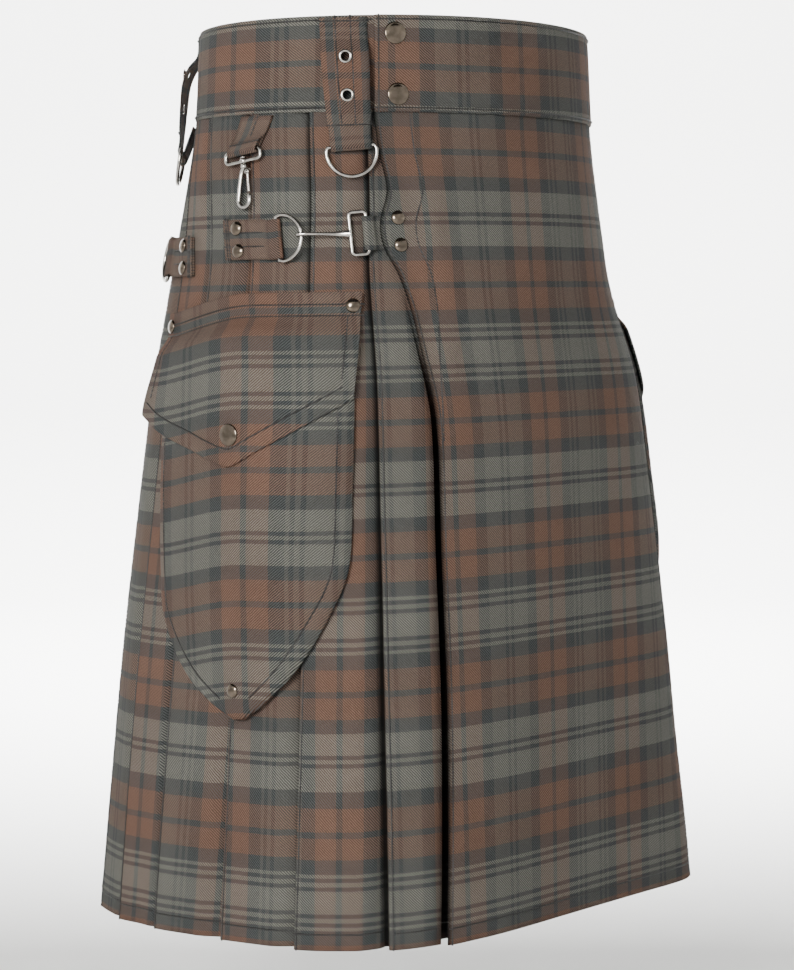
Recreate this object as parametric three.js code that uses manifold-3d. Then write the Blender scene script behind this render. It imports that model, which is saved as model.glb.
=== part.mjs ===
// Utility kilt, worn and hollow, in millimetres.
// X points to the wearer's left, Y to the back and Z up.
// The origin is the middle of the waistband's ring, where a waist holds the garment.
import * as THREE from 'three';
import { mergeVertices } from 'three/addons/utils/BufferGeometryUtils.js';
import Module from 'manifold-3d';

const wasm = await Module();
wasm.setup();

// Driving dimensions
const seamDown = 33;
const hemDown = 588;
const seamGap = 0.3;
const skirtWall = 1.1;
const apronWall = 1.2;
const pleatCount = 16;
const farUnderlap = 22;
const bandWall = 3;
const bandFace = 0.8;
const bandLift = 3.3;
const strapWall = 1.2;
const wireRadius = 1.35;
const loopWidth = 33;
const eyeletHole = 3.2;
const rivetRadius = 4.8;
const snapRadius = 7.4;
const pocketWall = 1.1;
const flapWall = 1.3;

// The garment's outline level by level: down is the drop below the origin at the front.
// right, left, front and back are half sizes. A round of 2 is an ellipse, and more is squarer.
// dip is how much lower the level lies at the middle of the back.
const outline = table(
  ['down', 'right', 'left', 'front', 'back', 'roundRight', 'roundLeft', 'roundBack', 'dip'],
  [
    [-32.5, 160, 160, 116, 116, 2.0, 2.0, 2.0, 9],
    [33, 163, 163, 120, 120, 2.0, 2.0, 2.0, 3],
    [105, 170, 170, 126, 132, 2.1, 2.1, 2.1, 4.5],
    [160, 175, 175, 131, 142, 2.2, 2.3, 2.2, 5.5],
    [215, 178, 180, 136, 152, 2.35, 3.0, 2.35, 6.6],
    [300, 180, 184, 139, 165, 2.5, 3.7, 2.5, 8.3],
    [400, 181, 186, 142, 180, 2.7, 4.9, 2.7, 10.3],
    [490, 182, 187, 144, 193, 2.85, 6.5, 2.8, 12],
    [588, 182, 189, 146, 206, 3.0, 10, 2.9, 14],
  ],
);

// Edges and pleats level by level, as lengths round the outline from the front centre.
// join is where the pleats meet the under apron, pitch the distance between the layers of
// a pleat and depth its hidden fold. edgeLift is how far the hip strap holds the edge out.
const cut = table(
  ['down', 'nearEdge', 'farEdge', 'join', 'firstFold', 'pitch', 'depth', 'apronOut', 'edgeLift'],
  [
    [33, 128, 130, 100, 132, 1.5, 23, 0.9, 0],
    [60, 126.5, 132, 98, 133.5, 1.5, 23, 0.9, 0],
    [85, 124, 134, 96, 135, 1.5, 24, 1.0, 1.2],
    [105, 131, 136, 94, 137, 1.5, 24, 1.0, 3.4],
    [122, 130.5, 138, 92, 139, 1.5, 24, 1.0, 3.4],
    [140, 122, 139, 90, 140.5, 1.5, 25, 1.0, 1.6],
    [165, 115, 140, 87, 141.5, 1.6, 26, 1.2, 0.4],
    [191, 111, 142, 84, 142.5, 1.8, 27, 1.3, 0],
    [238, 104.5, 145, 79, 144, 2.1, 29, 1.5, 0],
    [330, 105, 151, 77, 146, 2.6, 32, 1.8, 0],
    [425, 105, 163, 77, 148, 3.0, 35, 2.0, 0],
    [510, 107, 173, 79, 149, 3.2, 37, 2.2, 0],
    [588, 110, 181, 82, 150, 3.3, 38, 2.4, 0],
  ],
);

// How far each fold lies past an even spacing, towards the back, at three levels.
// kick is how far its edge swings out at the hem.
const foldShift = table(
  ['waist', 'hip', 'hem', 'kick'],
  [
    [0, 0, 0, 1.5],
    [-1, -4, 9, 2.5],
    [3, -4, 15, 0.5],
    [6, -9, 22, 2.0],
    [6, -14, 9, 3.0],
    [4, -12, 2, 0.5],
    [2, -9, -4, 2.5],
    [1, -6, 3, 1.0],
    [0, -3, -5, 3.0],
    [0, -1, 2, 1.5],
    [0, 0, -4, 2.5],
    [0, 0, 5, 0.5],
    [0, 0, -2, 2.0],
    [0, 0, -6, 3.0],
    [0, 0, 3, 1.0],
    [0, 0, -2, 2.0],
  ],
);

const apronLevels = [33, 60, 85, 105, 122, 140, 165, 191, 238, 330, 450, 588];
const pleatLevels = [33, 85, 140, 165, 191, 238, 330, 450, 588];
const hipDown = 140;

const finishes = {
  cloth: new THREE.MeshStandardMaterial({ color: 0x74706a, roughness: 0.95, metalness: 0 }),
  nickel: new THREE.MeshStandardMaterial({ color: 0xc9c6c0, roughness: 0.28, metalness: 1 }),
};

const kilt = new THREE.Group();

// Small helpers for tables and curves

function table(columns, rows) {
  return rows.map((row) => Object.fromEntries(columns.map((name, i) => [name, row[i]])));
}

function mix(a, b, t) {
  return a + (b - a) * t;
}

function smooth(from, to, value) {
  const t = Math.min(Math.max((value - from) / (to - from), 0), 1);
  return t * t * (3 - 2 * t);
}

// A smooth curve through one column of a table
function read(rows, column, down) {
  const last = rows.length - 1;
  const slope = (i) => {
    const a = rows[Math.max(i - 1, 0)];
    const b = rows[Math.min(i + 1, last)];
    return (b[column] - a[column]) / (b.down - a.down);
  };
  let i = 0;
  while (i < last - 1 && down > rows[i + 1].down) i += 1;
  const span = rows[i + 1].down - rows[i].down;
  const t = Math.min(Math.max((down - rows[i].down) / span, 0), 1);
  const rise = rows[i + 1][column] - rows[i][column];
  const bend = (slope(i) * span - rise) * (1 - t) - (slope(i + 1) * span - rise) * t;
  return rows[i][column] + rise * t + bend * t * (1 - t);
}

// The outline as a polygon with running lengths, kept for each level
const ringSteps = 960;
const ringCache = new Map();

function ringAt(down) {
  const key = down.toFixed(2);
  if (ringCache.has(key)) return ringCache.get(key);
  const size = (column) => read(outline, column, down);
  const points = [];
  for (let i = 0; i <= ringSteps; i += 1) {
    const turn = (i / ringSteps) * Math.PI * 2;
    const across = Math.sin(turn);
    const ahead = Math.cos(turn);
    const half = across >= 0 ? size('right') : size('left');
    const depth = ahead >= 0 ? size('front') : size('back');
    const frontRound = across >= 0 ? size('roundRight') : size('roundLeft');
    const round = ahead >= 0 ? frontRound : size('roundBack');
    const reach = (Math.abs(across) / half) ** round + (Math.abs(ahead) / depth) ** round;
    const radius = reach ** (-1 / round);
    points.push(new THREE.Vector2(-across * radius, -ahead * radius));
  }
  const lengths = [0];
  for (let i = 1; i <= ringSteps; i += 1) {
    lengths.push(lengths[i - 1] + points[i].distanceTo(points[i - 1]));
  }
  const ring = { points, lengths, girth: lengths[ringSteps], dip: size('dip') };
  ringCache.set(key, ring);
  return ring;
}

// A point of the garment: along is measured round the outline from the front centre towards
// the wearer's right, and out is the distance outside the outline.
function place(along, down, out) {
  const ring = ringAt(down);
  const wrapped = ((along % ring.girth) + ring.girth) % ring.girth;
  let low = 0;
  let high = ringSteps;
  while (high - low > 1) {
    const middle = (low + high) >> 1;
    if (ring.lengths[middle] <= wrapped) low = middle;
    else high = middle;
  }
  const t = (wrapped - ring.lengths[low]) / (ring.lengths[high] - ring.lengths[low]);
  const spot = ring.points[low].clone().lerp(ring.points[high], t);
  const turned = (i) => {
    const before = ring.points[(i - 2 + ringSteps) % ringSteps];
    const after = ring.points[(i + 2) % ringSteps];
    return new THREE.Vector2(after.y - before.y, before.x - after.x).normalize();
  };
  const normal = turned(low).lerp(turned(high % ringSteps), t).normalize();
  if (normal.dot(spot) < 0) normal.negate();
  const rear = (1 - Math.cos((wrapped / ring.girth) * Math.PI * 2)) / 2;
  return new THREE.Vector3(spot.x + normal.x * out, spot.y + normal.y * out, -down - ring.dip * rear);
}

// Axes on the garment: x to a viewer's right, y up along the cloth and z out of it
function axesAt(along, down, out) {
  const origin = place(along, down, out);
  const up = place(along, down - 4, out).sub(place(along, down + 4, out)).normalize();
  const side = place(along - 2, down, out).sub(place(along + 2, down, out)).normalize();
  const face = new THREE.Vector3().crossVectors(side, up).normalize();
  const right = new THREE.Vector3().crossVectors(up, face);
  return new THREE.Matrix4().makeBasis(right, up, face).setPosition(origin);
}

// A point like place, but on a level line that is straight instead of curved where flat is 1.
// aside is measured along the level from the line's middle.
function placeFlat(along, aside, down, out, flat) {
  const curved = place(along + aside, down, out);
  const axes = axesAt(along, down, out);
  const straight = new THREE.Vector3(-aside, 0, 0).applyMatrix4(axes);
  return curved.lerp(straight, flat);
}

// A line with points added, so that no step is longer than the given one
function refined(line, step) {
  return line.flatMap((point, i) => {
    if (i === 0) return [point];
    const before = line[i - 1];
    const parts = Math.ceil(Math.hypot(point[0] - before[0], point[1] - before[1]) / step);
    return Array.from({ length: parts }, (unused, k) => {
      const t = (k + 1) / parts;
      return [mix(before[0], point[0], t), mix(before[1], point[1], t)];
    });
  });
}

// A line in a plane, moved sideways with its corners kept
function offsetLine(line, distance) {
  return line.map((point, i) => {
    const before = line[Math.max(i - 1, 0)];
    const after = line[Math.min(i + 1, line.length - 1)];
    const first = new THREE.Vector2(point[0] - before[0], point[1] - before[1]);
    const second = new THREE.Vector2(after[0] - point[0], after[1] - point[1]);
    if (i === 0) first.copy(second);
    if (i === line.length - 1) second.copy(first);
    first.normalize();
    second.normalize();
    const middle = first.clone().add(second).normalize();
    const reach = distance / Math.max(middle.dot(first), 0.6);
    return [point[0] - middle.y * reach, point[1] + middle.x * reach];
  });
}

// A geometry whose faces point outwards
function bodyOf(points, triangles) {
  let volume = 0;
  for (const [a, b, c] of triangles) {
    volume += points[a].dot(new THREE.Vector3().crossVectors(points[b], points[c]));
  }
  const index = triangles.flatMap(([a, b, c]) => (volume > 0 ? [a, b, c] : [a, c, b]));
  const geometry = new THREE.BufferGeometry();
  const positions = points.flatMap((point) => [point.x, point.y, point.z]);
  geometry.setAttribute('position', new THREE.Float32BufferAttribute(positions, 3));
  geometry.setIndex(index);
  return geometry;
}

// A wall from two grids of points, closed round its four edges
function wallBody(outer, inner) {
  const rows = outer.length;
  const columns = outer[0].length;
  const points = [...outer.flat(), ...inner.flat()];
  const triangles = [];
  const id = (face, row, column) => (face * rows + row) * columns + column;
  const quad = (a, b, c, d) => triangles.push([a, b, c], [a, c, d]);
  for (let r = 0; r < rows - 1; r += 1) {
    for (let c = 0; c < columns - 1; c += 1) {
      quad(id(0, r, c), id(0, r + 1, c), id(0, r + 1, c + 1), id(0, r, c + 1));
      quad(id(1, r, c), id(1, r, c + 1), id(1, r + 1, c + 1), id(1, r + 1, c));
    }
    quad(id(0, r, 0), id(1, r, 0), id(1, r + 1, 0), id(0, r + 1, 0));
    const end = columns - 1;
    quad(id(0, r, end), id(0, r + 1, end), id(1, r + 1, end), id(1, r, end));
  }
  for (let c = 0; c < columns - 1; c += 1) {
    const foot = rows - 1;
    quad(id(0, 0, c), id(0, 0, c + 1), id(1, 0, c + 1), id(1, 0, c));
    quad(id(0, foot, c), id(1, foot, c), id(1, foot, c + 1), id(0, foot, c + 1));
  }
  return bodyOf(points, triangles);
}

// A skin through closed rings of points, with its first and last ring filled in or joined
function ringBody(rings, endless = false) {
  const count = rings[0].length;
  const points = rings.flat();
  const triangles = [];
  const steps = endless ? rings.length : rings.length - 1;
  for (let r = 0; r < steps; r += 1) {
    const next = (r + 1) % rings.length;
    for (let i = 0; i < count; i += 1) {
      const j = (i + 1) % count;
      triangles.push([r * count + i, r * count + j, next * count + j]);
      triangles.push([r * count + i, next * count + j, next * count + i]);
    }
  }
  if (!endless) {
    const last = (rings.length - 1) * count;
    for (let i = 1; i < count - 1; i += 1) {
      triangles.push([0, i + 1, i]);
      triangles.push([last, last + i, last + i + 1]);
    }
  }
  return bodyOf(points, triangles);
}

// A strip of cloth that follows a line, wide across it
function stripBody(line, thickness, across, toPoint) {
  const face = (distance) =>
    offsetLine(line, distance).map(([along, out]) => across.map((a) => toPoint(along, out, a)));
  return wallBody(face(thickness / 2), face(-thickness / 2));
}

// A round wire along a path that lies in one plane. Its radius is one size, or one for each point.
function wireBody(path, plane, radius, sides, endless = false) {
  const last = path.length - 1;
  const radii = Array.isArray(radius) ? radius : path.map(() => radius);
  const rings = path.map((point, i) => {
    const before = endless ? path[(i + last) % path.length] : path[Math.max(i - 1, 0)];
    const after = endless ? path[(i + 1) % path.length] : path[Math.min(i + 1, last)];
    const ahead = after.clone().sub(before).normalize();
    const beside = new THREE.Vector3().crossVectors(plane, ahead).normalize();
    return Array.from({ length: sides }, (unused, k) => {
      const turn = (k / sides) * Math.PI * 2;
      const spread = beside.clone().multiplyScalar(Math.cos(turn) * radii[i]);
      return point.clone().add(spread).addScaledVector(plane, Math.sin(turn) * radii[i]);
    });
  });
  return ringBody(rings, endless);
}

function arcPoints(centreX, centreY, radius, from, to, steps) {
  return Array.from({ length: steps + 1 }, (unused, i) => {
    const turn = mix(from, to, i / steps);
    return [centreX + Math.cos(turn) * radius, centreY + Math.sin(turn) * radius];
  });
}

// Solids for joins and cuts
function solidOf(geometry) {
  const plain = geometry.clone();
  plain.deleteAttribute('normal');
  plain.deleteAttribute('uv');
  const merged = mergeVertices(plain, 1e-4);
  return new wasm.Manifold(new wasm.Mesh({
    numProp: 3,
    vertProperties: new Float32Array(merged.attributes.position.array),
    triVerts: new Uint32Array(merged.index.array),
  }));
}

function geometryOf(solid) {
  const mesh = solid.getMesh();
  const geometry = new THREE.BufferGeometry();
  geometry.setAttribute('position', new THREE.Float32BufferAttribute(mesh.vertProperties, 3));
  geometry.setIndex(Array.from(mesh.triVerts));
  return geometry;
}

function joined(geometries) {
  const solids = geometries.map(solidOf);
  return geometryOf(solids.slice(1).reduce((sum, solid) => sum.add(solid), solids[0]));
}

function addPiece(name, geometry, finish, axes) {
  const mesh = new THREE.Mesh(geometry, finishes[finish].clone());
  mesh.name = name;
  if (axes) axes.decompose(mesh.position, mesh.quaternion, mesh.scale);
  kilt.add(mesh);
}

// Skirt cloth: pleats, aprons and waistband

function foldPosition(k, down) {
  const first = read(cut, 'firstFold', down);
  const last = ringAt(down).girth - read(cut, 'farEdge', down);
  const shift = foldShift[k];
  const toHip = smooth(seamDown, hipDown, down);
  const toHem = (down - hipDown) / (hemDown - hipDown);
  const moved = down < hipDown ? mix(shift.waist, shift.hip, toHip) : mix(shift.hip, shift.hem, toHem);
  return first + ((last - first) * k) / pleatCount + moved;
}

// One level of the pleats, as points of length along the outline and distance outside it
function pleatLine(down) {
  const pitch = read(cut, 'pitch', down);
  const depth = read(cut, 'depth', down);
  const swing = smooth(300, hemDown, down);
  const top = -skirtWall / 2;
  const turn = pitch / 2;
  const join = read(cut, 'join', down);
  const far = ringAt(down).girth - read(cut, 'farEdge', down);
  const line = [[join, top], [join + 14, top], [join + 30, top]];
  for (let k = 0; k < pleatCount; k += 1) {
    const fold = foldPosition(k, down);
    const kick = foldShift[k].kick * swing;
    const back = fold - depth;
    line.push([mix(line.at(-1)[0], fold, 0.5), top + kick * 0.35]);
    line.push([fold - turn, top + kick]);
    line.push([fold, top + kick - turn]);
    line.push([fold - turn, top + kick * 0.9 - pitch]);
    line.push([back + turn, top - pitch]);
    line.push([back, top - pitch - turn]);
    line.push([back + turn, top - 2 * pitch]);
    line.push([fold + 1, top - 2 * pitch + kick * 0.3]);
    const next = k + 1 < pleatCount ? foldPosition(k + 1, down) - depth : far - 6;
    line.push([mix(fold, next, k + 1 < pleatCount ? 0.85 : 0.5), top]);
  }
  const farSteps = [-6, 3, 10, 16, farUnderlap];
  return [...line, ...farSteps.map((step) => [far + step, top])];
}

// The pleats are four lengths of cloth, each sewn to the next inside the last pleat it holds.
const pleatLengths = table(
  ['name', 'firstPleat', 'lastPleat'],
  [
    ['right_front', 0, 3],
    ['right_back', 4, 7],
    ['left_back', 8, 11],
    ['left_front', 12, 15],
  ],
);
const joinPoints = 3;
const pleatPoints = 9;
const seamPoint = 7;
const seamTurn = 1;
const seamSink = 0.9;

function lengthLine(down, { firstPleat, lastPleat }) {
  const line = pleatLine(down);
  const seamAfter = (pleat) => joinPoints + pleatPoints * pleat + seamPoint;
  let made = line;
  if (lastPleat < pleatCount - 1) {
    const to = seamAfter(lastPleat);
    const [along, out] = line[to - 1];
    made = [...line.slice(0, to), [along + seamTurn, out]];
  }
  if (firstPleat === 0) return made;
  const from = seamAfter(firstPleat - 1);
  const [along, out] = line[from - 1];
  const [foldAlong, foldOut] = line[from];
  const start = [along + seamTurn + seamGap, out - seamSink];
  return [start, [foldAlong, foldOut - seamSink], ...made.slice(from + 1)];
}

function addPleats(length) {
  const face = (distance) =>
    pleatLevels.map((down) => {
      const level = down === seamDown ? down + seamGap : down;
      const line = offsetLine(lengthLine(level, length), distance);
      return line.map(([along, out]) => place(along, level, out));
    });
  addPiece(`pleats_${length.name}`, wallBody(face(skirtWall / 2), face(-skirtWall / 2)), 'cloth');
}

// Distance of the outer apron's inner face from the outline
function apronInner(along, down) {
  const fromEdge = read(cut, 'nearEdge', down) - along;
  const lift = read(cut, 'edgeLift', down) * (1 - smooth(18, 62, fromEdge));
  return read(cut, 'apronOut', down) + lift;
}

function addOuterApron() {
  const nearSteps = [0, 7, 18, 32, 48, 66];
  const farSteps = [40, 30, 21, 13, 6, 0];
  const middleSteps = 7;
  const columns = (down) => {
    const near = read(cut, 'nearEdge', down);
    const far = -read(cut, 'farEdge', down);
    const list = nearSteps.map((step) => near - step);
    const from = list.at(-1);
    const to = far + farSteps[0];
    for (let i = 1; i < middleSteps; i += 1) list.push(mix(from, to, i / middleSteps));
    return [...list, ...farSteps.map((step) => far + step)];
  };
  const face = (thickness) =>
    apronLevels.map((down) => {
      const level = down === seamDown ? down + seamGap : down;
      return columns(level).map((along) => place(along, level, apronInner(along, level) + thickness));
    });
  addPiece('outer_apron', wallBody(face(apronWall), face(0)), 'cloth');
}

function addUnderApron() {
  const sink = 3.2;
  const overrun = 14;
  const farSteps = [42, 30, 20, 11, 0];
  const middleSteps = 7;
  const columns = (down) => {
    const right = read(cut, 'join', down) - seamGap;
    const left = -read(cut, 'farEdge', down) - overrun;
    const list = [right, right - 9, right - 20, right - 34];
    const from = list.at(-1);
    for (let i = 1; i < middleSteps; i += 1) list.push(mix(from, left + farSteps[0], i / middleSteps));
    return [...list, ...farSteps.map((step) => left + step)];
  };
  const face = (distance) =>
    pleatLevels.map((down) => {
      const level = down === seamDown ? down + seamGap : down;
      const right = read(cut, 'join', level);
      return columns(level).map((along) => {
        const centre = -skirtWall / 2 - sink * smooth(2, 48, right - along);
        return place(along, level, centre + distance);
      });
    });
  addPiece('under_apron', wallBody(face(skirtWall / 2), face(-skirtWall / 2)), 'cloth');
}

// How far the band's outer face lies from the outline, counted from the band's start
function bandOut(along) {
  return bandFace + bandLift * (1 - smooth(136, 250, -along));
}

// The band starts at the apron's free edge, runs once round and on under its own start.
function addWaistband() {
  const girth = ringAt(seamDown).girth;
  const start = read(cut, 'nearEdge', seamDown);
  const underEnd = 112;
  const step = 13;
  const travel = start + girth + underEnd;
  const count = Math.round(travel / step);
  const levels = [-32.5, seamDown];
  const face = (distance) =>
    levels.map((down) =>
      Array.from({ length: count + 1 }, (unused, i) => {
        const along = start - (travel * i) / count;
        const stretch = ringAt(down).girth / girth;
        return place(along * stretch, down, bandOut(along) - distance);
      }),
    );
  addPiece('waistband', wallBody(face(0), face(bandWall)), 'cloth');
}

// Fasteners with a round head, seated just clear of the face that carries them

function headBody(radius, height, sides) {
  const rim = height * 0.3;
  const profile = [
    [0, 0],
    [radius, 0],
    [radius, rim],
    [radius * 0.72, rim + (height - rim) * 0.8],
    [0, height],
  ].map(([x, y]) => new THREE.Vector2(x, y));
  return new THREE.LatheGeometry(profile, sides).rotateX(Math.PI / 2);
}

function addRivet(name, along, down, out) {
  addPiece(name, headBody(rivetRadius, 2.3, 11), 'nickel', axesAt(along, down, out + seamGap));
}

function addSnap(name, along, down, out) {
  addPiece(name, headBody(snapRadius, 2.6, 16), 'nickel', axesAt(along, down, out + seamGap));
}

// A D-ring: a straight bar along y with a bow to the side of x
function ringShape(length, bulge) {
  const half = length / 2;
  const bow = Array.from({ length: 11 }, (unused, i) => {
    const turn = mix(-Math.PI / 2, Math.PI / 2, i / 10);
    return new THREE.Vector3(3 + Math.cos(turn) * (bulge - 3), Math.sin(turn) * half, 0);
  });
  const bar = [half - 1, -half + 1].map((y) => new THREE.Vector3(0, y, 0));
  return wireBody([...bow, ...bar], new THREE.Vector3(0, 0, 1), wireRadius, 8, true);
}

// An oblong ring of wire, wide in x and tall in y
function eyeShape(halfWidth, halfHeight, corner) {
  const corners = [[1, 1], [-1, 1], [-1, -1], [1, -1]];
  const path = corners.flatMap(([sx, sy], k) =>
    arcPoints(
      sx * (halfWidth - corner),
      sy * (halfHeight - corner),
      corner,
      (k * Math.PI) / 2,
      ((k + 1) * Math.PI) / 2,
      3,
    ));
  const points = path.map(([x, y]) => new THREE.Vector3(x, y, 0));
  return wireBody(points, new THREE.Vector3(0, 0, 1), wireRadius, 8, true);
}

// The line of a strap folded round a bar at x 0, with both of its layers to the left.
// rise is how far before the bar they part.
const foldRadius = wireRadius + 0.35 + strapWall / 2;

function foldLine({ length, topOut, underOut, barOut, rise }) {
  return [
    [-length, topOut],
    [-rise, topOut],
    [-rise * 0.45, mix(topOut, barOut + foldRadius, 0.75)],
    ...arcPoints(0, barOut, foldRadius, Math.PI * 0.45, -Math.PI * 0.45, 6),
    [-rise * 0.45, mix(underOut, barOut - foldRadius, 0.5)],
    [-rise, underOut],
    [-length, underOut],
  ];
}

// Belt loops, each folded at its foot round the bar of a ring

const loops = table(
  ['name', 'along', 'standOff', 'barOut'],
  [
    ['right_front', 145.5, 8.2, 4.6],
    ['right_back', 324, 11.5, 7.4],
    ['left_back', -324, 11.5, 7.4],
    ['left_front', -188, 8.2, 4.6],
  ],
);
const loopFoot = 56;
const loopTaper = 0.84;
const loopRing = { length: 33.6, bulge: 20 };
const eyeletLevels = [-4, 22];

// Its points are levels and distances from the face of the band
function loopLine({ standOff, barOut }) {
  const bandGap = seamGap + strapWall / 2;
  const backOut = 1.1;
  return [
    [-28, bandGap],
    [-17, bandGap + 0.3],
    [-8, mix(bandGap, standOff, 0.6)],
    [4, mix(bandGap, standOff, 0.95)],
    [20, standOff],
    [36, mix(standOff, barOut + foldRadius, 0.45)],
    [48, barOut + foldRadius - 0.3],
    ...arcPoints(loopFoot, barOut, foldRadius, Math.PI * 0.45, -Math.PI * 0.45, 6),
    [47, mix(barOut - foldRadius, backOut, 0.55)],
    [seamDown + 3, backOut],
  ];
}

function addBeltLoop(loop) {
  const { name, along, standOff, barOut } = loop;
  const base = along > 0 ? bandFace : bandOut(along) + 0.2;
  const half = loopWidth / 2;
  const across = [-half, -half / 2, 0, half / 2, half];
  const toPoint = (down, out, aside) => {
    const lift = base * (1 - smooth(seamDown, loopFoot, down));
    const beside = aside * mix(1, loopTaper, smooth(-28, loopFoot, down));
    return placeFlat(along, beside, down, out + lift, smooth(seamDown, loopFoot - 6, down));
  };
  const strip = solidOf(stripBody(loopLine(loop), strapWall, across, toPoint));
  const holes = eyeletLevels.map((down) => {
    const drill = new THREE.CylinderGeometry(eyeletHole, eyeletHole, 5, 16).rotateX(Math.PI / 2);
    return solidOf(drill.applyMatrix4(axesAt(along, down, base + standOff)));
  });
  const pierced = holes.reduce((solid, hole) => solid.subtract(hole), strip);
  addPiece(`belt_loop_${name}`, geometryOf(pierced), 'cloth');

  const hang = axesAt(along, loopFoot, barOut);
  hang.multiply(new THREE.Matrix4().makeRotationZ(-Math.PI / 2));
  addPiece(`loop_ring_${name}`, ringShape(loopRing.length, loopRing.bulge), 'nickel', hang);
}

// Tabs: cloth folded round the bar of a ring and riveted at the other end

const tabs = table(
  ['name', 'along', 'down', 'facing'],
  [
    ['hip', 199, 116, 1],
    ['back', 322, 126, -1],
  ],
);
const tab = { length: 43, width: 27, topOut: 2.7, underOut: 1.15, barOut: 4.4, rise: 12 };
const tabRivet = { from: 31, spread: 15 };
const tabRing = { length: 31, bulge: 17.5, tilt: 0.09 };

function addTab({ name, along, down, facing }) {
  const line = refined(foldLine(tab), 11);
  const across = [-tab.width / 2, 0, tab.width / 2];
  const toPoint = (x, out, aside) => {
    const curved = place(along - facing * x, down + aside, out);
    const straight = new THREE.Vector3(facing * x, -aside, 0);
    return curved.lerp(straight.applyMatrix4(axesAt(along, down, out)), smooth(-tab.rise, -4, x));
  };
  addPiece(`${name}_tab`, stripBody(line, strapWall, across, toPoint), 'cloth');

  const face = tab.topOut + strapWall / 2;
  const rivetAlong = along + facing * tabRivet.from;
  addRivet(`${name}_tab_rivet_upper`, rivetAlong, down - tabRivet.spread / 2, face);
  addRivet(`${name}_tab_rivet_lower`, rivetAlong, down + tabRivet.spread / 2, face);

  const hold = axesAt(along, down, tab.barOut);
  hold.multiply(new THREE.Matrix4().makeRotationY(-facing * tabRing.tilt));
  hold.multiply(new THREE.Matrix4().makeRotationZ(facing > 0 ? 0 : Math.PI));
  addPiece(`${name}_ring`, ringShape(tabRing.length, tabRing.bulge), 'nickel', hold);
}

// Hip fastening: a strap under the apron's edge holds an eye, whose hook holds the hip ring

const hipStrap = {
  along: 140.5,
  down: 113,
  length: 32,
  width: 22.5,
  topOut: 2.45,
  underOut: 1.0,
  barOut: 4.6,
  rise: 8.5,
};
const hipStrapRivet = { from: 21, spread: 18, lift: 1 };
const hipEye = { halfWidth: 5.6, halfHeight: 14.2, corner: 2.6 };
const hipHook = { curl: 2.8, thin: 1.05, thick: 1.9 };

function addHipFastening() {
  const line = refined(foldLine(hipStrap), 11);
  const across = [-hipStrap.width / 2, 0, hipStrap.width / 2];
  const toPoint = (x, out, aside) => place(hipStrap.along + x, hipStrap.down + aside, out);
  addPiece('hip_strap', stripBody(line, strapWall, across, toPoint), 'cloth');

  const rivetAlong = hipStrap.along - hipStrapRivet.from;
  for (const [name, step] of [['upper', -0.5], ['lower', 0.5]]) {
    const down = hipStrap.down - hipStrapRivet.lift + step * hipStrapRivet.spread;
    const face = apronInner(rivetAlong, down) + apronWall;
    addRivet(`hip_strap_rivet_${name}`, rivetAlong, down, face);
  }

  const eyeAxes = axesAt(hipStrap.along + hipEye.halfWidth, hipStrap.down, hipStrap.barOut);
  const eye = eyeShape(hipEye.halfWidth, hipEye.halfHeight, hipEye.corner).applyMatrix4(eyeAxes);
  const apex = new THREE.Vector3(tabRing.bulge, 0, 0);
  const ringAxes = kilt.getObjectByName('hip_ring');
  ringAxes.updateMatrix();
  apex.applyMatrix4(ringAxes.matrix);
  const hookAxes = axesAt(tabs[0].along - tabRing.bulge, tabs[0].down, 0).setPosition(apex);
  const eyeBar = new THREE.Vector3(-hipEye.halfWidth, 0, 0).applyMatrix4(eyeAxes);
  const shankEnd = eyeBar.applyMatrix4(hookAxes.clone().invert());
  const curl = arcPoints(0, 0, hipHook.curl, -Math.PI * 0.38, -Math.PI * 1.5, 10);
  const points = curl.map(([x, z]) => new THREE.Vector3(x, 0, z));
  const radii = curl.map(() => hipHook.thin);
  for (const t of [0.35, 0.7, 1]) {
    points.push(new THREE.Vector3(shankEnd.x * t, shankEnd.y * t, mix(hipHook.curl, shankEnd.z, t)));
    radii.push(mix(hipHook.thin, hipHook.thick, t));
  }
  const shank = wireBody(points, new THREE.Vector3(0, 1, 0), radii, 8).applyMatrix4(hookAxes);
  addPiece('hip_hook', joined([eye, shank]), 'nickel');
}

// Clip: a slanted strap from the band's seam, an eye in its fold and a hook that swivels in it

const clip = {
  along: 205,
  down: 57.5,
  slant: 14,
  length: 23,
  width: 23.5,
  topOut: 2.7,
  underOut: 1.15,
  barOut: 4.4,
  rise: 11,
};
const clipEye = { halfWidth: 14.4, halfHeight: 3.5, corner: 2.6 };
const boss = { radius: 2.9, half: 1.6, bore: 1.5 };
const hookStem = 1.15;

function roundBar(radius, fromY, toY, sides = 12) {
  const bar = new THREE.CylinderGeometry(radius, radius, Math.abs(toY - fromY), sides);
  return bar.translate(0, (fromY + toY) / 2, 0);
}

function pinBar(x, y, radius, fromZ, toZ) {
  return roundBar(radius, fromZ, toZ).rotateX(Math.PI / 2).translate(x, y, 0);
}

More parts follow.
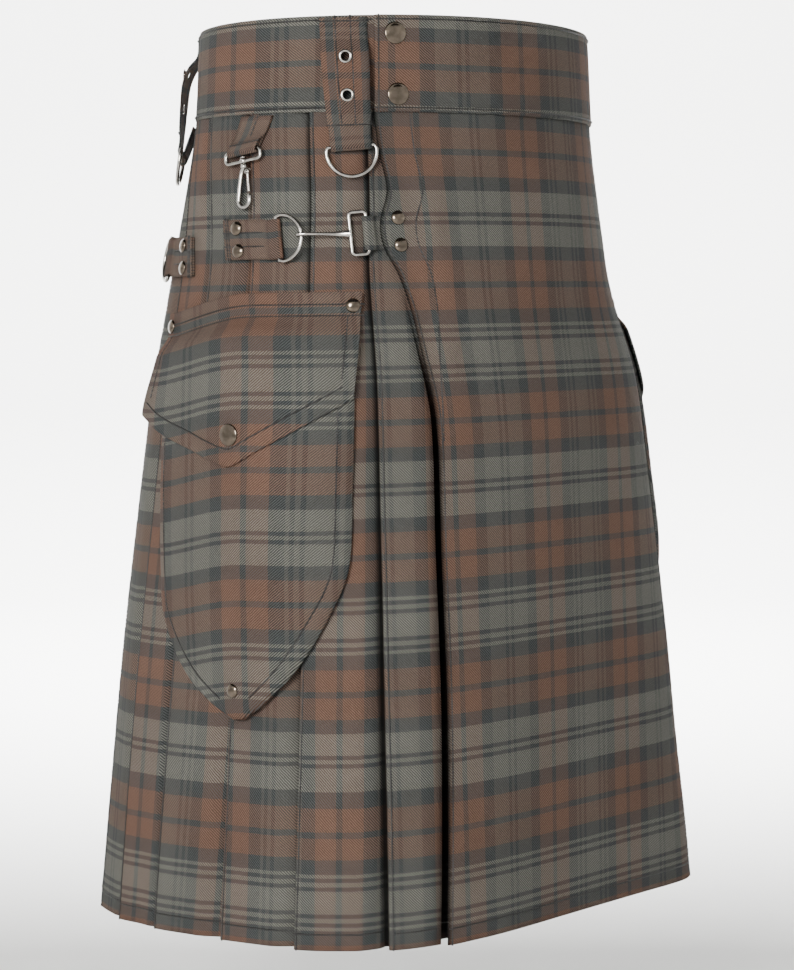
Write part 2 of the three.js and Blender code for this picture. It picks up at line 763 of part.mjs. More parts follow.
function addClip() {
  const line = refined(foldLine(clip), 9);
  const half = clip.width / 2;
  const toPoint = (x, out, aside) => {
    const hang = 1 + Math.min(x, 0) / clip.length;
    const along = clip.along + clip.slant * hang;
    return placeFlat(along, aside, clip.down + x, out, smooth(0.4, 0.8, hang));
  };
  const across = [-half, -half / 2, 0, half / 2, half];
  addPiece('clip_strap', stripBody(line, strapWall, across, toPoint), 'cloth');

  const axes = axesAt(clip.along + clip.slant, clip.down, clip.barOut);
  const bossY = -2 * clipEye.halfHeight;
  const frameWire = eyeShape(clipEye.halfWidth, clipEye.halfHeight, clipEye.corner);
  frameWire.translate(0, -clipEye.halfHeight, 0);
  const bossBody = roundBar(boss.radius, bossY - boss.half, bossY + boss.half, 16);
  const bore = roundBar(boss.bore, bossY - 4, bossY + 4, 12);
  const eye = solidOf(joined([frameWire, bossBody])).subtract(solidOf(bore));
  addPiece('clip_eye', geometryOf(eye), 'nickel', axes);

  const foot = bossY - boss.half - seamGap;
  const headFrom = bossY + boss.half + seamGap;
  const hookPath = [
    [0, foot - 2],
    [-2.2, foot - 6],
    [-4.4, foot - 14],
    [-6.4, foot - 23.5],
    ...arcPoints(-1.9, foot - 24.5, 4.5, Math.PI, Math.PI * 2, 8),
    [2.7, foot - 20.5],
  ].map(([x, y]) => new THREE.Vector3(x, y, 0));
  const bow = wireBody(hookPath, new THREE.Vector3(0, 0, 1), 1.45, 8);
  const stem = roundBar(hookStem, foot - 2.5, headFrom + 0.6);
  const head = roundBar(2.1, headFrom, headFrom + 1.1);
  const shoulder = roundBar(2.2, foot - 3, foot, 12);
  const pivot = { x: 2.6, y: foot - 5.6 };
  const pin = pinBar(pivot.x, pivot.y, 0.8, -2.6, 1.9);
  const cheek = new THREE.BoxGeometry(5.2, 4.4, 0.9).translate(pivot.x - 2.2, pivot.y + 1, -2.2);
  addPiece('clip_hook', joined([bow, stem, head, shoulder, cheek, pin]), 'nickel', axes.clone());

  const gatePath = [
    [pivot.x, pivot.y - 1.2],
    [2.5, pivot.y - 6],
    [2.7, foot - 19.1],
  ].map(([x, y]) => new THREE.Vector3(x, y, 0));
  const rod = wireBody(gatePath, new THREE.Vector3(0, 0, 1), 1.05, 8);
  const barrel = pinBar(pivot.x, pivot.y, 1.75, -1.35, 1.35);
  const hole = pinBar(pivot.x, pivot.y, 1.1, -3, 3);
  const gate = solidOf(joined([rod, barrel])).subtract(solidOf(hole));
  addPiece('clip_gate', geometryOf(gate), 'nickel', axes.clone());
}

// Pockets: a pouch with a pointed foot under a flap with a pointed edge, one on each hip

// front and rear are half widths at each drop from the pocket's top, and depth its thickness.
const pouch = table(
  ['down', 'front', 'rear', 'depth'],
  [
    [30, 76, 80, 9.4],
    [50, 76, 81, 10.8],
    [80, 76, 82, 12.2],
    [130, 76, 82, 13],
    [180, 75, 80, 12.5],
    [205, 67, 76, 11],
    [245, 45, 52, 8.5],
    [270, 22, 26, 6.6],
    [284, 3, 4, 5],
  ],
);
const pocket = { along: 232, lean: 19, top: 151, height: 284, sag: 13, back: 1.1, side: 4.6 };
const flapFlat = 16;
const flapDrop = { front: 70, tip: 116, rear: 69, tipAt: 3 };

// A point of a pocket: x runs from its middle towards the back, and drop from its top
function pocketPlace(side, x, drop, out) {
  const along = pocket.along + (pocket.lean * drop) / pocket.height + x;
  const down = pocket.top + drop + pocket.sag * smooth(-10, 85, x);
  return place(side * along, down, out);
}

// How far the pouch's back stands out: its foot lies on the swinging edges of the pleats
function pouchBack(drop) {
  return pocket.back + 1.6 * smooth(140, pocket.height, drop);
}

// How far the pouch's front face stands out
function pouchFace(x, drop) {
  const size = (column) => read(pouch, column, drop);
  const half = x < 0 ? size('front') : size('rear');
  const reach = Math.min(Math.abs(x) / half, 1) ** 2.6;
  return pouchBack(drop) + mix(size('depth'), Math.min(pocket.side, size('depth')), reach);
}

// The pouch's front panel turns in along its sides and foot and is sewn to the back panel there.
function addPouch(side, name) {
  const steps = 10;
  const wall = pocketWall;
  const levels = pouch.map((row) => row.down);
  const row = (drop, margin, toOut) => {
    const front = read(pouch, 'front', drop) - margin;
    const rear = read(pouch, 'rear', drop) - margin;
    const columns = Array.from({ length: steps + 1 }, (unused, i) => mix(-front, rear, i / steps));
    return columns.map((x) => pocketPlace(side, x, drop, toOut(x)));
  };
  const seam = (drop) => pouchBack(drop) + wall + seamGap;
  const panel = (inset, margin, lowest) => {
    const rows = levels.map((level) => {
      const drop = Math.min(level, lowest);
      const foot = row(drop, margin, () => seam(drop));
      return [foot[0], ...row(drop, margin, (x) => pouchFace(x, drop) - inset), foot.at(-1)];
    });
    const foot = row(lowest, margin, () => seam(lowest));
    return [...rows, [foot[0], ...foot, foot.at(-1)]];
  };
  const outer = panel(0, 0, pocket.height);
  const inner = panel(wall, wall * 1.5, pocket.height - 10);
  addPiece(`pocket_${name}`, wallBody(outer, inner), 'cloth');

  const backFace = (thickness) => levels.map((drop) => row(drop, 0, () => pouchBack(drop) + thickness));
  addPiece(`pocket_back_${name}`, wallBody(backFace(wall), backFace(0)), 'cloth');
}

function flapFace(x, drop) {
  const overPouch = pouchFace(x, Math.max(drop, pouch[0].down)) + 0.85;
  return mix(0.9, overPouch, smooth(flapFlat, pouch[0].down, drop));
}

function addFlap(side, name) {
  const columns = 12;
  const rows = [0, flapFlat, 21, 25, 30, 0.5, 0.75, 1];
  const lowest = (x) => {
    const half = x < flapDrop.tipAt ? 76 + flapDrop.tipAt : 92 - flapDrop.tipAt;
    const t = Math.abs(x - flapDrop.tipAt) / half;
    return mix(flapDrop.tip, x < flapDrop.tipAt ? flapDrop.front : flapDrop.rear, t);
  };
  const face = (thickness) =>
    rows.map((row) =>
      Array.from({ length: columns + 1 }, (unused, i) => {
        const t = i / columns;
        const foot = mix(-76, 92, t);
        const drop = row > 1 || row === 0 ? row : mix(30, lowest(foot), (row - 0.3) / 0.7);
        const x = mix(mix(-85, 83, t), foot, drop / lowest(foot));
        return pocketPlace(side, x, drop, flapFace(x, drop) + thickness);
      }),
    );
  addPiece(`pocket_flap_${name}`, wallBody(face(flapWall), face(0)), 'cloth');
}

function addPocket(side, name) {
  addPouch(side, name);
  addFlap(side, name);
  const fastener = (add, title, x, drop, out) => {
    const along = pocket.along + (pocket.lean * drop) / pocket.height + x;
    const down = pocket.top + drop + pocket.sag * smooth(-10, 85, x);
    add(`${title}_${name}`, side * along, down, out);
  };
  fastener(addSnap, 'pocket_snap', 2, 93, flapFace(2, 93) + flapWall);
  fastener(addRivet, 'pocket_rivet_front', -78, 9.5, flapFace(-78, 9.5) + flapWall);
  fastener(addRivet, 'pocket_rivet_rear', 77, 9.5, flapFace(77, 9.5) + flapWall);
  fastener(addRivet, 'pocket_rivet_foot', 3, 264, pouchFace(3, 264));
}

pleatLengths.forEach(addPleats);
addOuterApron();
addUnderApron();
addWaistband();
loops.forEach(addBeltLoop);
tabs.forEach(addTab);
addHipFastening();
addClip();
addPocket(1, 'right');
addPocket(-1, 'left');
for (const [name, down] of [['upper', -20], ['lower', 21]]) {
  addSnap(`waist_snap_${name}`, 112, down, bandOut(0) + 0.2);
}

export default kilt;
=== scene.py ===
import math

import bmesh
import bpy
import numpy as np
from mathutils import Matrix, Vector


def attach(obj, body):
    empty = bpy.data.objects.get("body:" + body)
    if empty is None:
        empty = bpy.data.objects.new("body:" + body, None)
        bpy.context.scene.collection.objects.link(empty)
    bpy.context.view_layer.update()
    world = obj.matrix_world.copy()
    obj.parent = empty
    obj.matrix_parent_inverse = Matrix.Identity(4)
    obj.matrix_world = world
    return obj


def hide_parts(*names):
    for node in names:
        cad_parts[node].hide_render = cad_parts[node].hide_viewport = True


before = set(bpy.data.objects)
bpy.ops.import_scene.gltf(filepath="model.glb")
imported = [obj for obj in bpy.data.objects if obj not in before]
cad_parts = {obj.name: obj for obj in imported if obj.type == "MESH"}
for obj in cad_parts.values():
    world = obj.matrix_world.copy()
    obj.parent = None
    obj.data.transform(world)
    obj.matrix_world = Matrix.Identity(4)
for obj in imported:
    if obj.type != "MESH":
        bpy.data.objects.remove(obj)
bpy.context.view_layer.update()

mm = 0.001


# camera, floor and light

shot = {"spot": (-1.5067, -1.2648, -0.143), "aim": (0.0007, -0.0008, -0.2933), "lens": 101.0}


def makeCamera():
    data = bpy.data.cameras.new("camera")
    data.lens = shot["lens"]
    data.sensor_width = 36.0
    data.clip_start, data.clip_end = 0.05, 50.0
    camera = bpy.data.objects.new("camera", data)
    bpy.context.scene.collection.objects.link(camera)
    spot, aim = Vector(shot["spot"]), Vector(shot["aim"])
    camera.location = spot
    camera.rotation_euler = (aim - spot).to_track_quat("-Z", "Y").to_euler()
    bpy.context.scene.camera = camera


studio = {
    "floor": -0.74,
    "floorColour": (0.86, 0.86, 0.85),
    "worldStrength": 0.12,
    # name, place, where it points, watts, size across, colour
    "lamps": [
        ("keyLamp", (-2.33, -0.94, 0.37), (0, 0, -0.3), 100.0, 0.8, (1.0, 0.985, 0.96)),
        ("fillLamp", (0.9, -2.9, 0.2), (0, 0, -0.3), 4.0, 1.6, (1.0, 1.0, 1.0)),
        ("backLamp", (1.9, 1.9, 1.3), (0, 0, -0.3), 22.0, 1.2, (1.0, 1.0, 1.0)),
        ("wallLamp", (1.0, 0.85, 1.5), (4.0, 3.4, -0.1), 820.0, 1.2, (1.0, 1.0, 1.0)),
    ],
}


def makeStudio():
    # a floor that curves up behind the kilt on every side, so that other views see it too
    rings, spokes = [(0.0, 0.0), (1.6, 0.0), (3.0, 0.02), (4.2, 0.3), (5.0, 1.0), (5.3, 2.2), (5.4, 5.0)], 64
    verts, faces = [], []
    for radius, rise in rings[1:]:
        for k in range(spokes):
            turn = 2 * math.pi * k / spokes
            verts.append((radius * math.cos(turn), radius * math.sin(turn), studio["floor"] + rise))
    verts.append((0, 0, studio["floor"]))
    middle = len(verts) - 1
    for k in range(spokes):
        faces.append((middle, k, (k + 1) % spokes))
        for r in range(len(rings) - 2):
            a, b = r * spokes + k, r * spokes + (k + 1) % spokes
            faces.append((a, a + spokes, b + spokes, b))
    mesh = bpy.data.meshes.new("floor")
    mesh.from_pydata(verts, [], faces)
    mesh.polygons.foreach_set("use_smooth", [True] * len(mesh.polygons))
    floor = bpy.data.objects.new("floor", mesh)
    bpy.context.scene.collection.objects.link(floor)
    paint = bpy.data.materials.new("floorPaint")
    paint.use_nodes = True
    shader = paint.node_tree.nodes["Principled BSDF"]
    shader.inputs["Base Color"].default_value = (*studio["floorColour"], 1)
    shader.inputs["Roughness"].default_value = 0.9
    floor.data.materials.append(paint)
    for name, spot, aim, watts, size, colour in studio["lamps"]:
        lamp = bpy.data.lights.new(name, "AREA")
        lamp.energy, lamp.size, lamp.color = watts, size, colour
        holder = bpy.data.objects.new(name, lamp)
        holder.location = spot
        holder.rotation_euler = (Vector(aim) - Vector(spot)).to_track_quat("-Z", "Y").to_euler()
        bpy.context.scene.collection.objects.link(holder)
    world = bpy.data.worlds.new("studio")
    world.use_nodes = True
    world.node_tree.nodes["Background"].inputs["Color"].default_value = (1, 1, 1, 1)
    world.node_tree.nodes["Background"].inputs["Strength"].default_value = studio["worldStrength"]
    bpy.context.scene.world = world


makeCamera()
makeStudio()
print("camera and studio ready")


# the garment's form: along runs round it from the front centre to the wearer's right,
# down is the drop below the middle of the waistband and out the distance off the form


def table(names, rows):
    return {name: np.array([row[i] for row in rows], float) for i, name in enumerate(names)}


outline = table(
    ["down", "right", "left", "front", "back", "roundRight", "roundLeft", "roundBack", "dip"],
    [
        [-32.5, 160, 160, 116, 116, 2.0, 2.0, 2.0, 9],
        [33, 163, 163, 120, 120, 2.0, 2.0, 2.0, 3],
        [105, 170, 170, 126, 132, 2.1, 2.1, 2.1, 4.5],
        [160, 175, 175, 131, 142, 2.2, 2.3, 2.2, 5.5],
        [215, 178, 180, 136, 152, 2.35, 3.0, 2.35, 6.6],
        [300, 180, 184, 139, 165, 2.5, 3.7, 2.5, 8.3],
        [400, 181, 186, 142, 180, 2.7, 4.9, 2.7, 10.3],
        [490, 182, 187, 144, 193, 2.85, 6.5, 2.8, 12],
        [588, 182, 189, 146, 206, 3.0, 10, 2.9, 14],
    ],
)
cut = table(
    ["down", "nearEdge", "farEdge", "join", "firstFold", "pitch", "depth", "apronOut", "edgeLift"],
    [
        [33, 128, 130, 100, 132, 1.5, 23, 0.9, 0],
        [60, 126.5, 132, 98, 133.5, 1.5, 23, 0.9, 0],
        [85, 124, 134, 96, 135, 1.5, 24, 1.0, 1.2],
        [105, 131, 136, 94, 137, 1.5, 24, 1.0, 3.4],
        [122, 130.5, 138, 92, 139, 1.5, 24, 1.0, 3.4],
        [140, 122, 139, 90, 140.5, 1.5, 25, 1.0, 1.6],
        [165, 115, 140, 87, 141.5, 1.6, 26, 1.2, 0.4],
        [191, 111, 142, 84, 142.5, 1.8, 27, 1.3, 0],
        [238, 104.5, 145, 79, 144, 2.1, 29, 1.5, 0],
        [330, 105, 151, 77, 146, 2.6, 32, 1.8, 0],
        [425, 105, 163, 77, 148, 3.0, 35, 2.0, 0],
        [510, 107, 173, 79, 149, 3.2, 37, 2.2, 0],
        [588, 110, 181, 82, 150, 3.3, 38, 2.4, 0],
    ],
)
seamDown, hipDown, hemDown = 33.0, 140.0, 588.0


def read(rows, name, down):
    key, value = rows["down"], rows[name]
    last = len(key) - 1
    spots = np.arange(last + 1)
    low, high = np.maximum(spots - 1, 0), np.minimum(spots + 1, last)
    slope = (value[high] - value[low]) / (key[high] - key[low])
    i = np.clip(np.searchsorted(key, down, side="left") - 1, 0, last - 1)
    span = key[i + 1] - key[i]
    t = np.clip((down - key[i]) / span, 0, 1)
    rise = value[i + 1] - value[i]
    bend = (slope[i] * span - rise) * (1 - t) - (slope[i + 1] * span - rise) * t
    return value[i] + rise * t + bend * t * (1 - t)


def mix(a, b, t):
    return a + (b - a) * t


def smooth(low, high, value):
    t = np.clip((value - low) / (high - low), 0, 1)
    return t * t * (3 - 2 * t)


ringStep, ringTurns, ringSpots = 2.0, 1440, 1200
ringLevels = np.arange(-42.0, 606.0, ringStep)


def buildRings():
    turn = np.linspace(0, 2 * np.pi, ringTurns + 1)
    across, ahead = np.sin(turn), np.cos(turn)
    grid = np.zeros((len(ringLevels), ringSpots, 4))
    girths = np.zeros(len(ringLevels))
    for row, down in enumerate(ringLevels):
        size = {name: read(outline, name, down) for name in outline}
        half = np.where(across >= 0, size["right"], size["left"])
        deep = np.where(ahead >= 0, size["front"], size["back"])
        power = np.where(across >= 0, size["roundRight"], size["roundLeft"])
        power = np.where(ahead >= 0, power, size["roundBack"])
        radius = ((np.abs(across) / half) ** power + (np.abs(ahead) / deep) ** power) ** (-1 / power)
        x, y = -across * radius, -ahead * radius
        length = np.concatenate([[0], np.cumsum(np.hypot(np.diff(x), np.diff(y)))])
        even = np.linspace(0, length[-1], ringSpots + 1)[:-1]
        spots = np.stack([np.interp(even, length, x), np.interp(even, length, y)], 1)
        ahead2 = np.roll(spots, -3, 0) - np.roll(spots, 3, 0)
        normal = np.stack([ahead2[:, 1], -ahead2[:, 0]], 1)
        normal /= np.linalg.norm(normal, axis=1, keepdims=True)
        normal *= np.sign((normal * spots).sum(1, keepdims=True))
        grid[row] = np.concatenate([spots, normal], 1)
        girths[row] = length[-1]
    return grid, girths


ringGrid, ringGirths = buildRings()
ringDips = read(outline, "dip", ringLevels)


def girthAt(down):
    return np.interp(down, ringLevels, ringGirths)


def place(along, down, out):
    along, down, out = np.broadcast_arrays(*(np.asarray(v, float) for v in (along, down, out)))
    share = (along / girthAt(down)) % 1.0
    row = np.clip((down - ringLevels[0]) / ringStep, 0, len(ringLevels) - 1.001)
    r = row.astype(int)
    rt = (row - r)[..., None]
    spot = share * ringSpots
    c = np.floor(spot).astype(int)
    ct = (spot - c)[..., None]
    c, d = c % ringSpots, (c + 1) % ringSpots
    above, below = (mix(ringGrid[level, c], ringGrid[level, d], ct) for level in (r, r + 1))
    found = mix(above, below, rt)
    normal = found[..., 2:] / np.linalg.norm(found[..., 2:], axis=-1, keepdims=True)
    rear = (1 - np.cos(share * 2 * np.pi)) / 2
    drop = -down - np.interp(down, ringLevels, ringDips) * rear
    spotXy = found[..., :2] + normal * out[..., None]
    return np.concatenate([spotXy, drop[..., None]], -1) * mm


def axesAt(along, down, out):
    # x to a viewer's right, y up along the cloth, z out of it
    origin = place(along, down, out)
    up = place(along, down - 4, out) - place(along, down + 4, out)
    side = place(along - 2, down, out) - place(along + 2, down, out)
    up /= np.linalg.norm(up)
    side /= np.linalg.norm(side)
    face = np.cross(side, up)
    face /= np.linalg.norm(face)
    right = np.cross(up, face)
    matrix = np.eye(4)
    matrix[:3, 0], matrix[:3, 1], matrix[:3, 2], matrix[:3, 3] = right, up, face, origin
    return matrix


def apply(matrix, points):
    # points in millimetres in the matrix's own axes
    points = np.asarray(points, float)
    return points @ matrix[:3, :3].T * mm + matrix[:3, 3]


print("form ready, waist girth", round(float(girthAt(0.0))), "mm")


# meshes


def addMesh(name, points, faces, uvs=None, material=None, flat=False):
    mesh = bpy.data.meshes.new(name)
    mesh.from_pydata([tuple(p) for p in np.asarray(points).reshape(-1, 3)], [], faces)
    mesh.polygons.foreach_set("use_smooth", [not flat] * len(mesh.polygons))
    if uvs is not None:
        layer = mesh.uv_layers.new(name="cloth")
        corners = np.zeros(len(mesh.loops), int)
        mesh.loops.foreach_get("vertex_index", corners)
        layer.data.foreach_set("uv", np.asarray(uvs, np.float32).reshape(-1, 2)[corners].ravel())
    if material:
        mesh.materials.append(material)
    piece = bpy.data.objects.new(name, mesh)
    bpy.context.scene.collection.objects.link(piece)
    return piece


def gridFaces(rows, columns, closed=False):
    faces = []
    for r in range(rows - 1):
        for c in range(columns if closed else columns - 1):
            d = (c + 1) % columns
            faces.append((r * columns + c, (r + 1) * columns + c, (r + 1) * columns + d, r * columns + d))
    return faces


def clothSheet(name, points, uv, thickness, material, fold=None):
    # points and uv are grids, with rows down the cloth and columns along it; fold is painted shade that
    # darkens the creases
    rows, columns = points.shape[:2]
    piece = addMesh(name, points, gridFaces(rows, columns), uv * 0.01, material)
    if fold is not None:
        # the fold attribute holds painted shade: how far the cloth's colour is darkened in its creases
        layer = piece.data.attributes.new("fold", "FLOAT", "POINT")
        layer.data.foreach_set("value", np.clip(fold, 0, 1).astype(np.float32).ravel())
    middle = points[rows // 2, columns // 2]
    normal = piece.data.polygons[(rows // 2) * (columns - 1) + columns // 2].normal
    outward = Vector((middle[0], middle[1], 0))
    if normal.dot(outward) < 0:
        piece.data.flip_normals()
    wall = piece.modifiers.new("wall", "SOLIDIFY")
    wall.thickness = thickness * mm
    wall.offset = 0.0
    wall.use_even_offset = False
    return piece


# materials


def addSocket(tree, name, kind, value=None, output=False):
    way = "OUTPUT" if output else "INPUT"
    socket = tree.interface.new_socket(name, in_out=way, socket_type="NodeSocket" + kind)
    if value is not None:
        socket.default_value = value
    return socket


class Wiring:
    # short calls for nodes and links
    def __init__(self, tree):
        self.tree = tree

    def add(self, kind, **settings):
        node = self.tree.nodes.new(kind)
        inputs = settings.pop("inputs", {})
        for key, value in settings.items():
            setattr(node, key, value)
        for key, value in inputs.items():
            self.put(node.inputs[key], value)
        return node

    def put(self, socket, value):
        if isinstance(value, bpy.types.NodeSocket):
            self.tree.links.new(value, socket)
        else:
            socket.default_value = value

    def maths(self, operation, *values, clamp=False):
        node = self.tree.nodes.new("ShaderNodeMath")
        node.operation = operation
        node.use_clamp = clamp
        for i, value in enumerate(values):
            self.put(node.inputs[i], value)
        return node.outputs[0]

    def blend(self, mode, factor, a, b):
        node = self.tree.nodes.new("ShaderNodeMix")
        node.data_type = "RGBA"
        node.blend_type = mode
        self.put(node.inputs[0], factor)
        self.put(node.inputs[6], a)
        self.put(node.inputs[7], b)
        return node.outputs[2]


# half of the repeat, from the middle of one light stripe to the middle of the next, in millimetres
tartan = {
    "half": 89.5,
    "stripes": [
        ("light", 7.5), ("dark", 2.9), ("light", 3.0), ("dark", 2.9), ("light", 2.5), ("dark", 9.6),
        ("brown", 14.3), ("dark", 4.2), ("brown", 14.3), ("dark", 9.6), ("light", 14.3), ("dark", 2.9),
        ("light", 1.45),
    ],
    # the threads that run down the cloth and those that run across it
    "warp": {"light": (0.053, 0.052, 0.046), "dark": (0.023, 0.026, 0.026), "brown": (0.080, 0.046, 0.033)},
    "weft": {"light": (0.110, 0.109, 0.097), "dark": (0.043, 0.046, 0.046), "brown": (0.101, 0.061, 0.045)},
    "twill": 1.85,
}
brownMiddle = tartan["half"] / 2  # the middle of a brown pair


def stripeRamp(wiring, colours, position):
    ramp = wiring.add("ShaderNodeValToRGB", inputs={0: position})
    ramp.color_ramp.interpolation = "CONSTANT"
    stops = ramp.color_ramp.elements
    at = 0.0
    for i, (name, width) in enumerate(tartan["stripes"]):
        stop = stops[i] if i < len(stops) else stops.new(at / tartan["half"])
        stop.position = at / tartan["half"]
        stop.color = (*colours[name], 1)
        at += width
    return ramp.outputs[0]


def tartanGroup():
    # reads cloth coordinates and puts out the check's colour, with painted shade in the twill's grooves and
    # along folds, and the height of its twill
    tree = bpy.data.node_groups.new("tartanTwill", "ShaderNodeTree")
    addSocket(tree, "Cloth", "Vector")
    addSocket(tree, "Object", "Vector")
    addSocket(tree, "Slant", "Float", 1.0)
    # Fold is the painted shade in creases, from 0 to 1
    addSocket(tree, "Fold", "Float", 0.0)
    addSocket(tree, "Colour", "Color", output=True)
    addSocket(tree, "Height", "Float", output=True)
    w = Wiring(tree)
    start, end = tree.nodes.new("NodeGroupInput"), tree.nodes.new("NodeGroupOutput")
    space = start.outputs["Object"]
    wobble = w.add("ShaderNodeTexNoise", inputs={"Vector": space, "Scale": 260.0, "Detail": 2.0})
    sway = w.maths("SUBTRACT", wobble.outputs[0], 0.5)
    split = w.add("ShaderNodeSeparateXYZ", inputs={0: start.outputs["Cloth"]})
    sides = []
    for axis, key in ((0, "warp"), (1, "weft")):
        length = w.maths("MULTIPLY", split.outputs[axis], 100.0)
        loose = w.maths("ADD", length, w.maths("MULTIPLY", sway, 0.9))
        share = w.maths("DIVIDE", w.maths("PINGPONG", loose, tartan["half"]), tartan["half"])
        sides.append((length, stripeRamp(w, tartan[key], share)))
    (acrossLength, warp), (downLength, weft) = sides
    diagonal = w.maths("ADD", w.maths("MULTIPLY", acrossLength, start.outputs["Slant"]), downLength)
    diagonal = w.maths("ADD", diagonal, w.maths("MULTIPLY", sway, 0.8))
    wave = w.maths("PINGPONG", w.maths("DIVIDE", diagonal, tartan["twill"]), 0.5)
    rib = w.maths("MULTIPLY", wave, 2.0)
    over = w.add("ShaderNodeMapRange", interpolation_type="SMOOTHSTEP",
                 inputs={0: rib, 1: 0.3, 2: 0.72, 3: 0.12, 4: 0.8})
    colour = w.blend("MIX", over.outputs[0], warp, weft)
    # painted shade in the twill's grooves and painted light on its ribs, multiplied into the colour
    groove = w.add("ShaderNodeMapRange", interpolation_type="SMOOTHSTEP",
                   inputs={0: rib, 1: 0.1, 2: 0.75, 3: 0.55, 4: 1.2})
    # painted shade along folds and creases, read from the fold attribute
    foldShade = w.maths("SUBTRACT", 1.0, w.maths("MULTIPLY", start.outputs["Fold"], 0.88))
    fuzz = w.add("ShaderNodeTexNoise", inputs={"Vector": space, "Scale": 1400.0, "Detail": 3.0})
    cloud = w.add("ShaderNodeTexNoise", inputs={"Vector": space, "Scale": 14.0, "Detail": 4.0})
    speck = w.add("ShaderNodeMapRange", inputs={0: fuzz.outputs[0], 1: 0.3, 2: 0.7, 3: 0.82, 4: 1.18})
    patch = w.add("ShaderNodeMapRange", inputs={0: cloud.outputs[0], 1: 0.3, 2: 0.7, 3: 0.93, 4: 1.07})
    # random tone of the wool, then the painted shade of the twill's grooves and of the folds
    shade = w.maths("MULTIPLY", speck.outputs[0], patch.outputs[0])
    shade = w.maths("MULTIPLY", w.maths("MULTIPLY", shade, groove.outputs[0]), foldShade)
    grey = w.add("ShaderNodeCombineXYZ", inputs={0: shade, 1: shade, 2: shade})
    colour = w.blend("MULTIPLY", 1.0, colour, grey.outputs[0])
    w.put(end.inputs["Colour"], colour)
    w.put(end.inputs["Height"], w.maths("ADD", over.outputs[0], w.maths("MULTIPLY", fuzz.outputs[0], 0.6)))
    return tree


def clothMaterial(name, slant):
    material = bpy.data.materials.new(name)
    material.use_nodes = True
    w = Wiring(material.node_tree)
    shader = material.node_tree.nodes["Principled BSDF"]
    cloth = w.add("ShaderNodeUVMap", uv_map="cloth")
    space = w.add("ShaderNodeTexCoord").outputs["Object"]
    twill = w.add("ShaderNodeGroup", node_tree=bpy.data.node_groups["tartanTwill"])
    w.put(twill.inputs["Cloth"], cloth.outputs[0])
    w.put(twill.inputs["Object"], space)
    twill.inputs["Slant"].default_value = slant
    # the fold attribute is painted shade in the creases and along the apron's edge
    fold = w.add("ShaderNodeAttribute", attribute_name="fold")
    w.put(twill.inputs["Fold"], fold.outputs["Fac"])
    bump = w.add("ShaderNodeBump", inputs={"Strength": 0.5, "Distance": 0.00035})
    w.put(bump.inputs["Height"], twill.outputs["Height"])
    w.put(shader.inputs["Base Color"], twill.outputs["Colour"])
    w.put(shader.inputs["Normal"], bump.outputs[0])
    shader.inputs["Roughness"].default_value = 0.92
    shader.inputs["Specular IOR Level"].default_value = 0.08
    return material


def metalMaterial(name, colour, roughness):
    material = bpy.data.materials.new(name)
    material.use_nodes = True
    w = Wiring(material.node_tree)
    shader = material.node_tree.nodes["Principled BSDF"]
    space = w.add("ShaderNodeTexCoord").outputs["Object"]
    tarnish = w.add("ShaderNodeTexNoise", inputs={"Vector": space, "Scale": 240.0, "Detail": 4.0})
    tint = w.add("ShaderNodeValToRGB", inputs={0: tarnish.outputs[0]})
    tint.color_ramp.elements[0].position, tint.color_ramp.elements[1].position = 0.35, 0.6
    tint.color_ramp.elements[0].color = (*(c * 0.72 for c in colour), 1)
    tint.color_ramp.elements[1].color = (*colour, 1)
    rough = w.add("ShaderNodeMapRange",
                  inputs={0: tarnish.outputs[0], 1: 0.3, 2: 0.7, 3: roughness * 1.5, 4: roughness})
    scratch = w.add("ShaderNodeTexNoise", inputs={"Vector": space, "Scale": 1800.0, "Detail": 2.0})
    bump = w.add("ShaderNodeBump", inputs={"Strength": 0.08, "Distance": 0.0002, "Height": scratch.outputs[0]})
    w.put(shader.inputs["Base Color"], tint.outputs[0])
    w.put(shader.inputs["Roughness"], rough.outputs[0])
    w.put(shader.inputs["Normal"], bump.outputs[0])
    shader.inputs["Metallic"].default_value = 1.0
    return material


def threadMaterial():
    material = bpy.data.materials.new("blackThread")
    material.use_nodes = True
    w = Wiring(material.node_tree)
    shader = material.node_tree.nodes["Principled BSDF"]
    space = w.add("ShaderNodeTexCoord").outputs["Object"]
    twist = w.add("ShaderNodeTexNoise", inputs={"Vector": space, "Scale": 900.0, "Detail": 2.0})
    tint = w.add("ShaderNodeValToRGB", inputs={0: twist.outputs[0]})
    tint.color_ramp.elements[0].color = (0.003, 0.003, 0.003, 1)
    tint.color_ramp.elements[1].color = (0.014, 0.0135, 0.013, 1)
    w.put(shader.inputs["Base Color"], tint.outputs[0])
    shader.inputs["Roughness"].default_value = 0.7
    return material


tartanGroup()
clothDown = clothMaterial("tartanClothDown", 1.0)
clothUp = clothMaterial("tartanClothUp", -1.0)
nickel = metalMaterial("nickelPlate", (0.44, 0.42, 0.39), 0.14)
nickelDark = metalMaterial("nickelSmoked", (0.15, 0.122, 0.095), 0.13)
thread = threadMaterial()
print("materials ready")


# stitches: a line of points on the cloth becomes a row of thread

stitch = {"pitch": 3.1, "length": 2.8, "thick": 1.05, "rise": 0.1}
stitchLines = []


def sew(points):
    # a run of points in metres, to be stitched with the rest of the garment's body
    stitchLines.append(np.asarray(points))


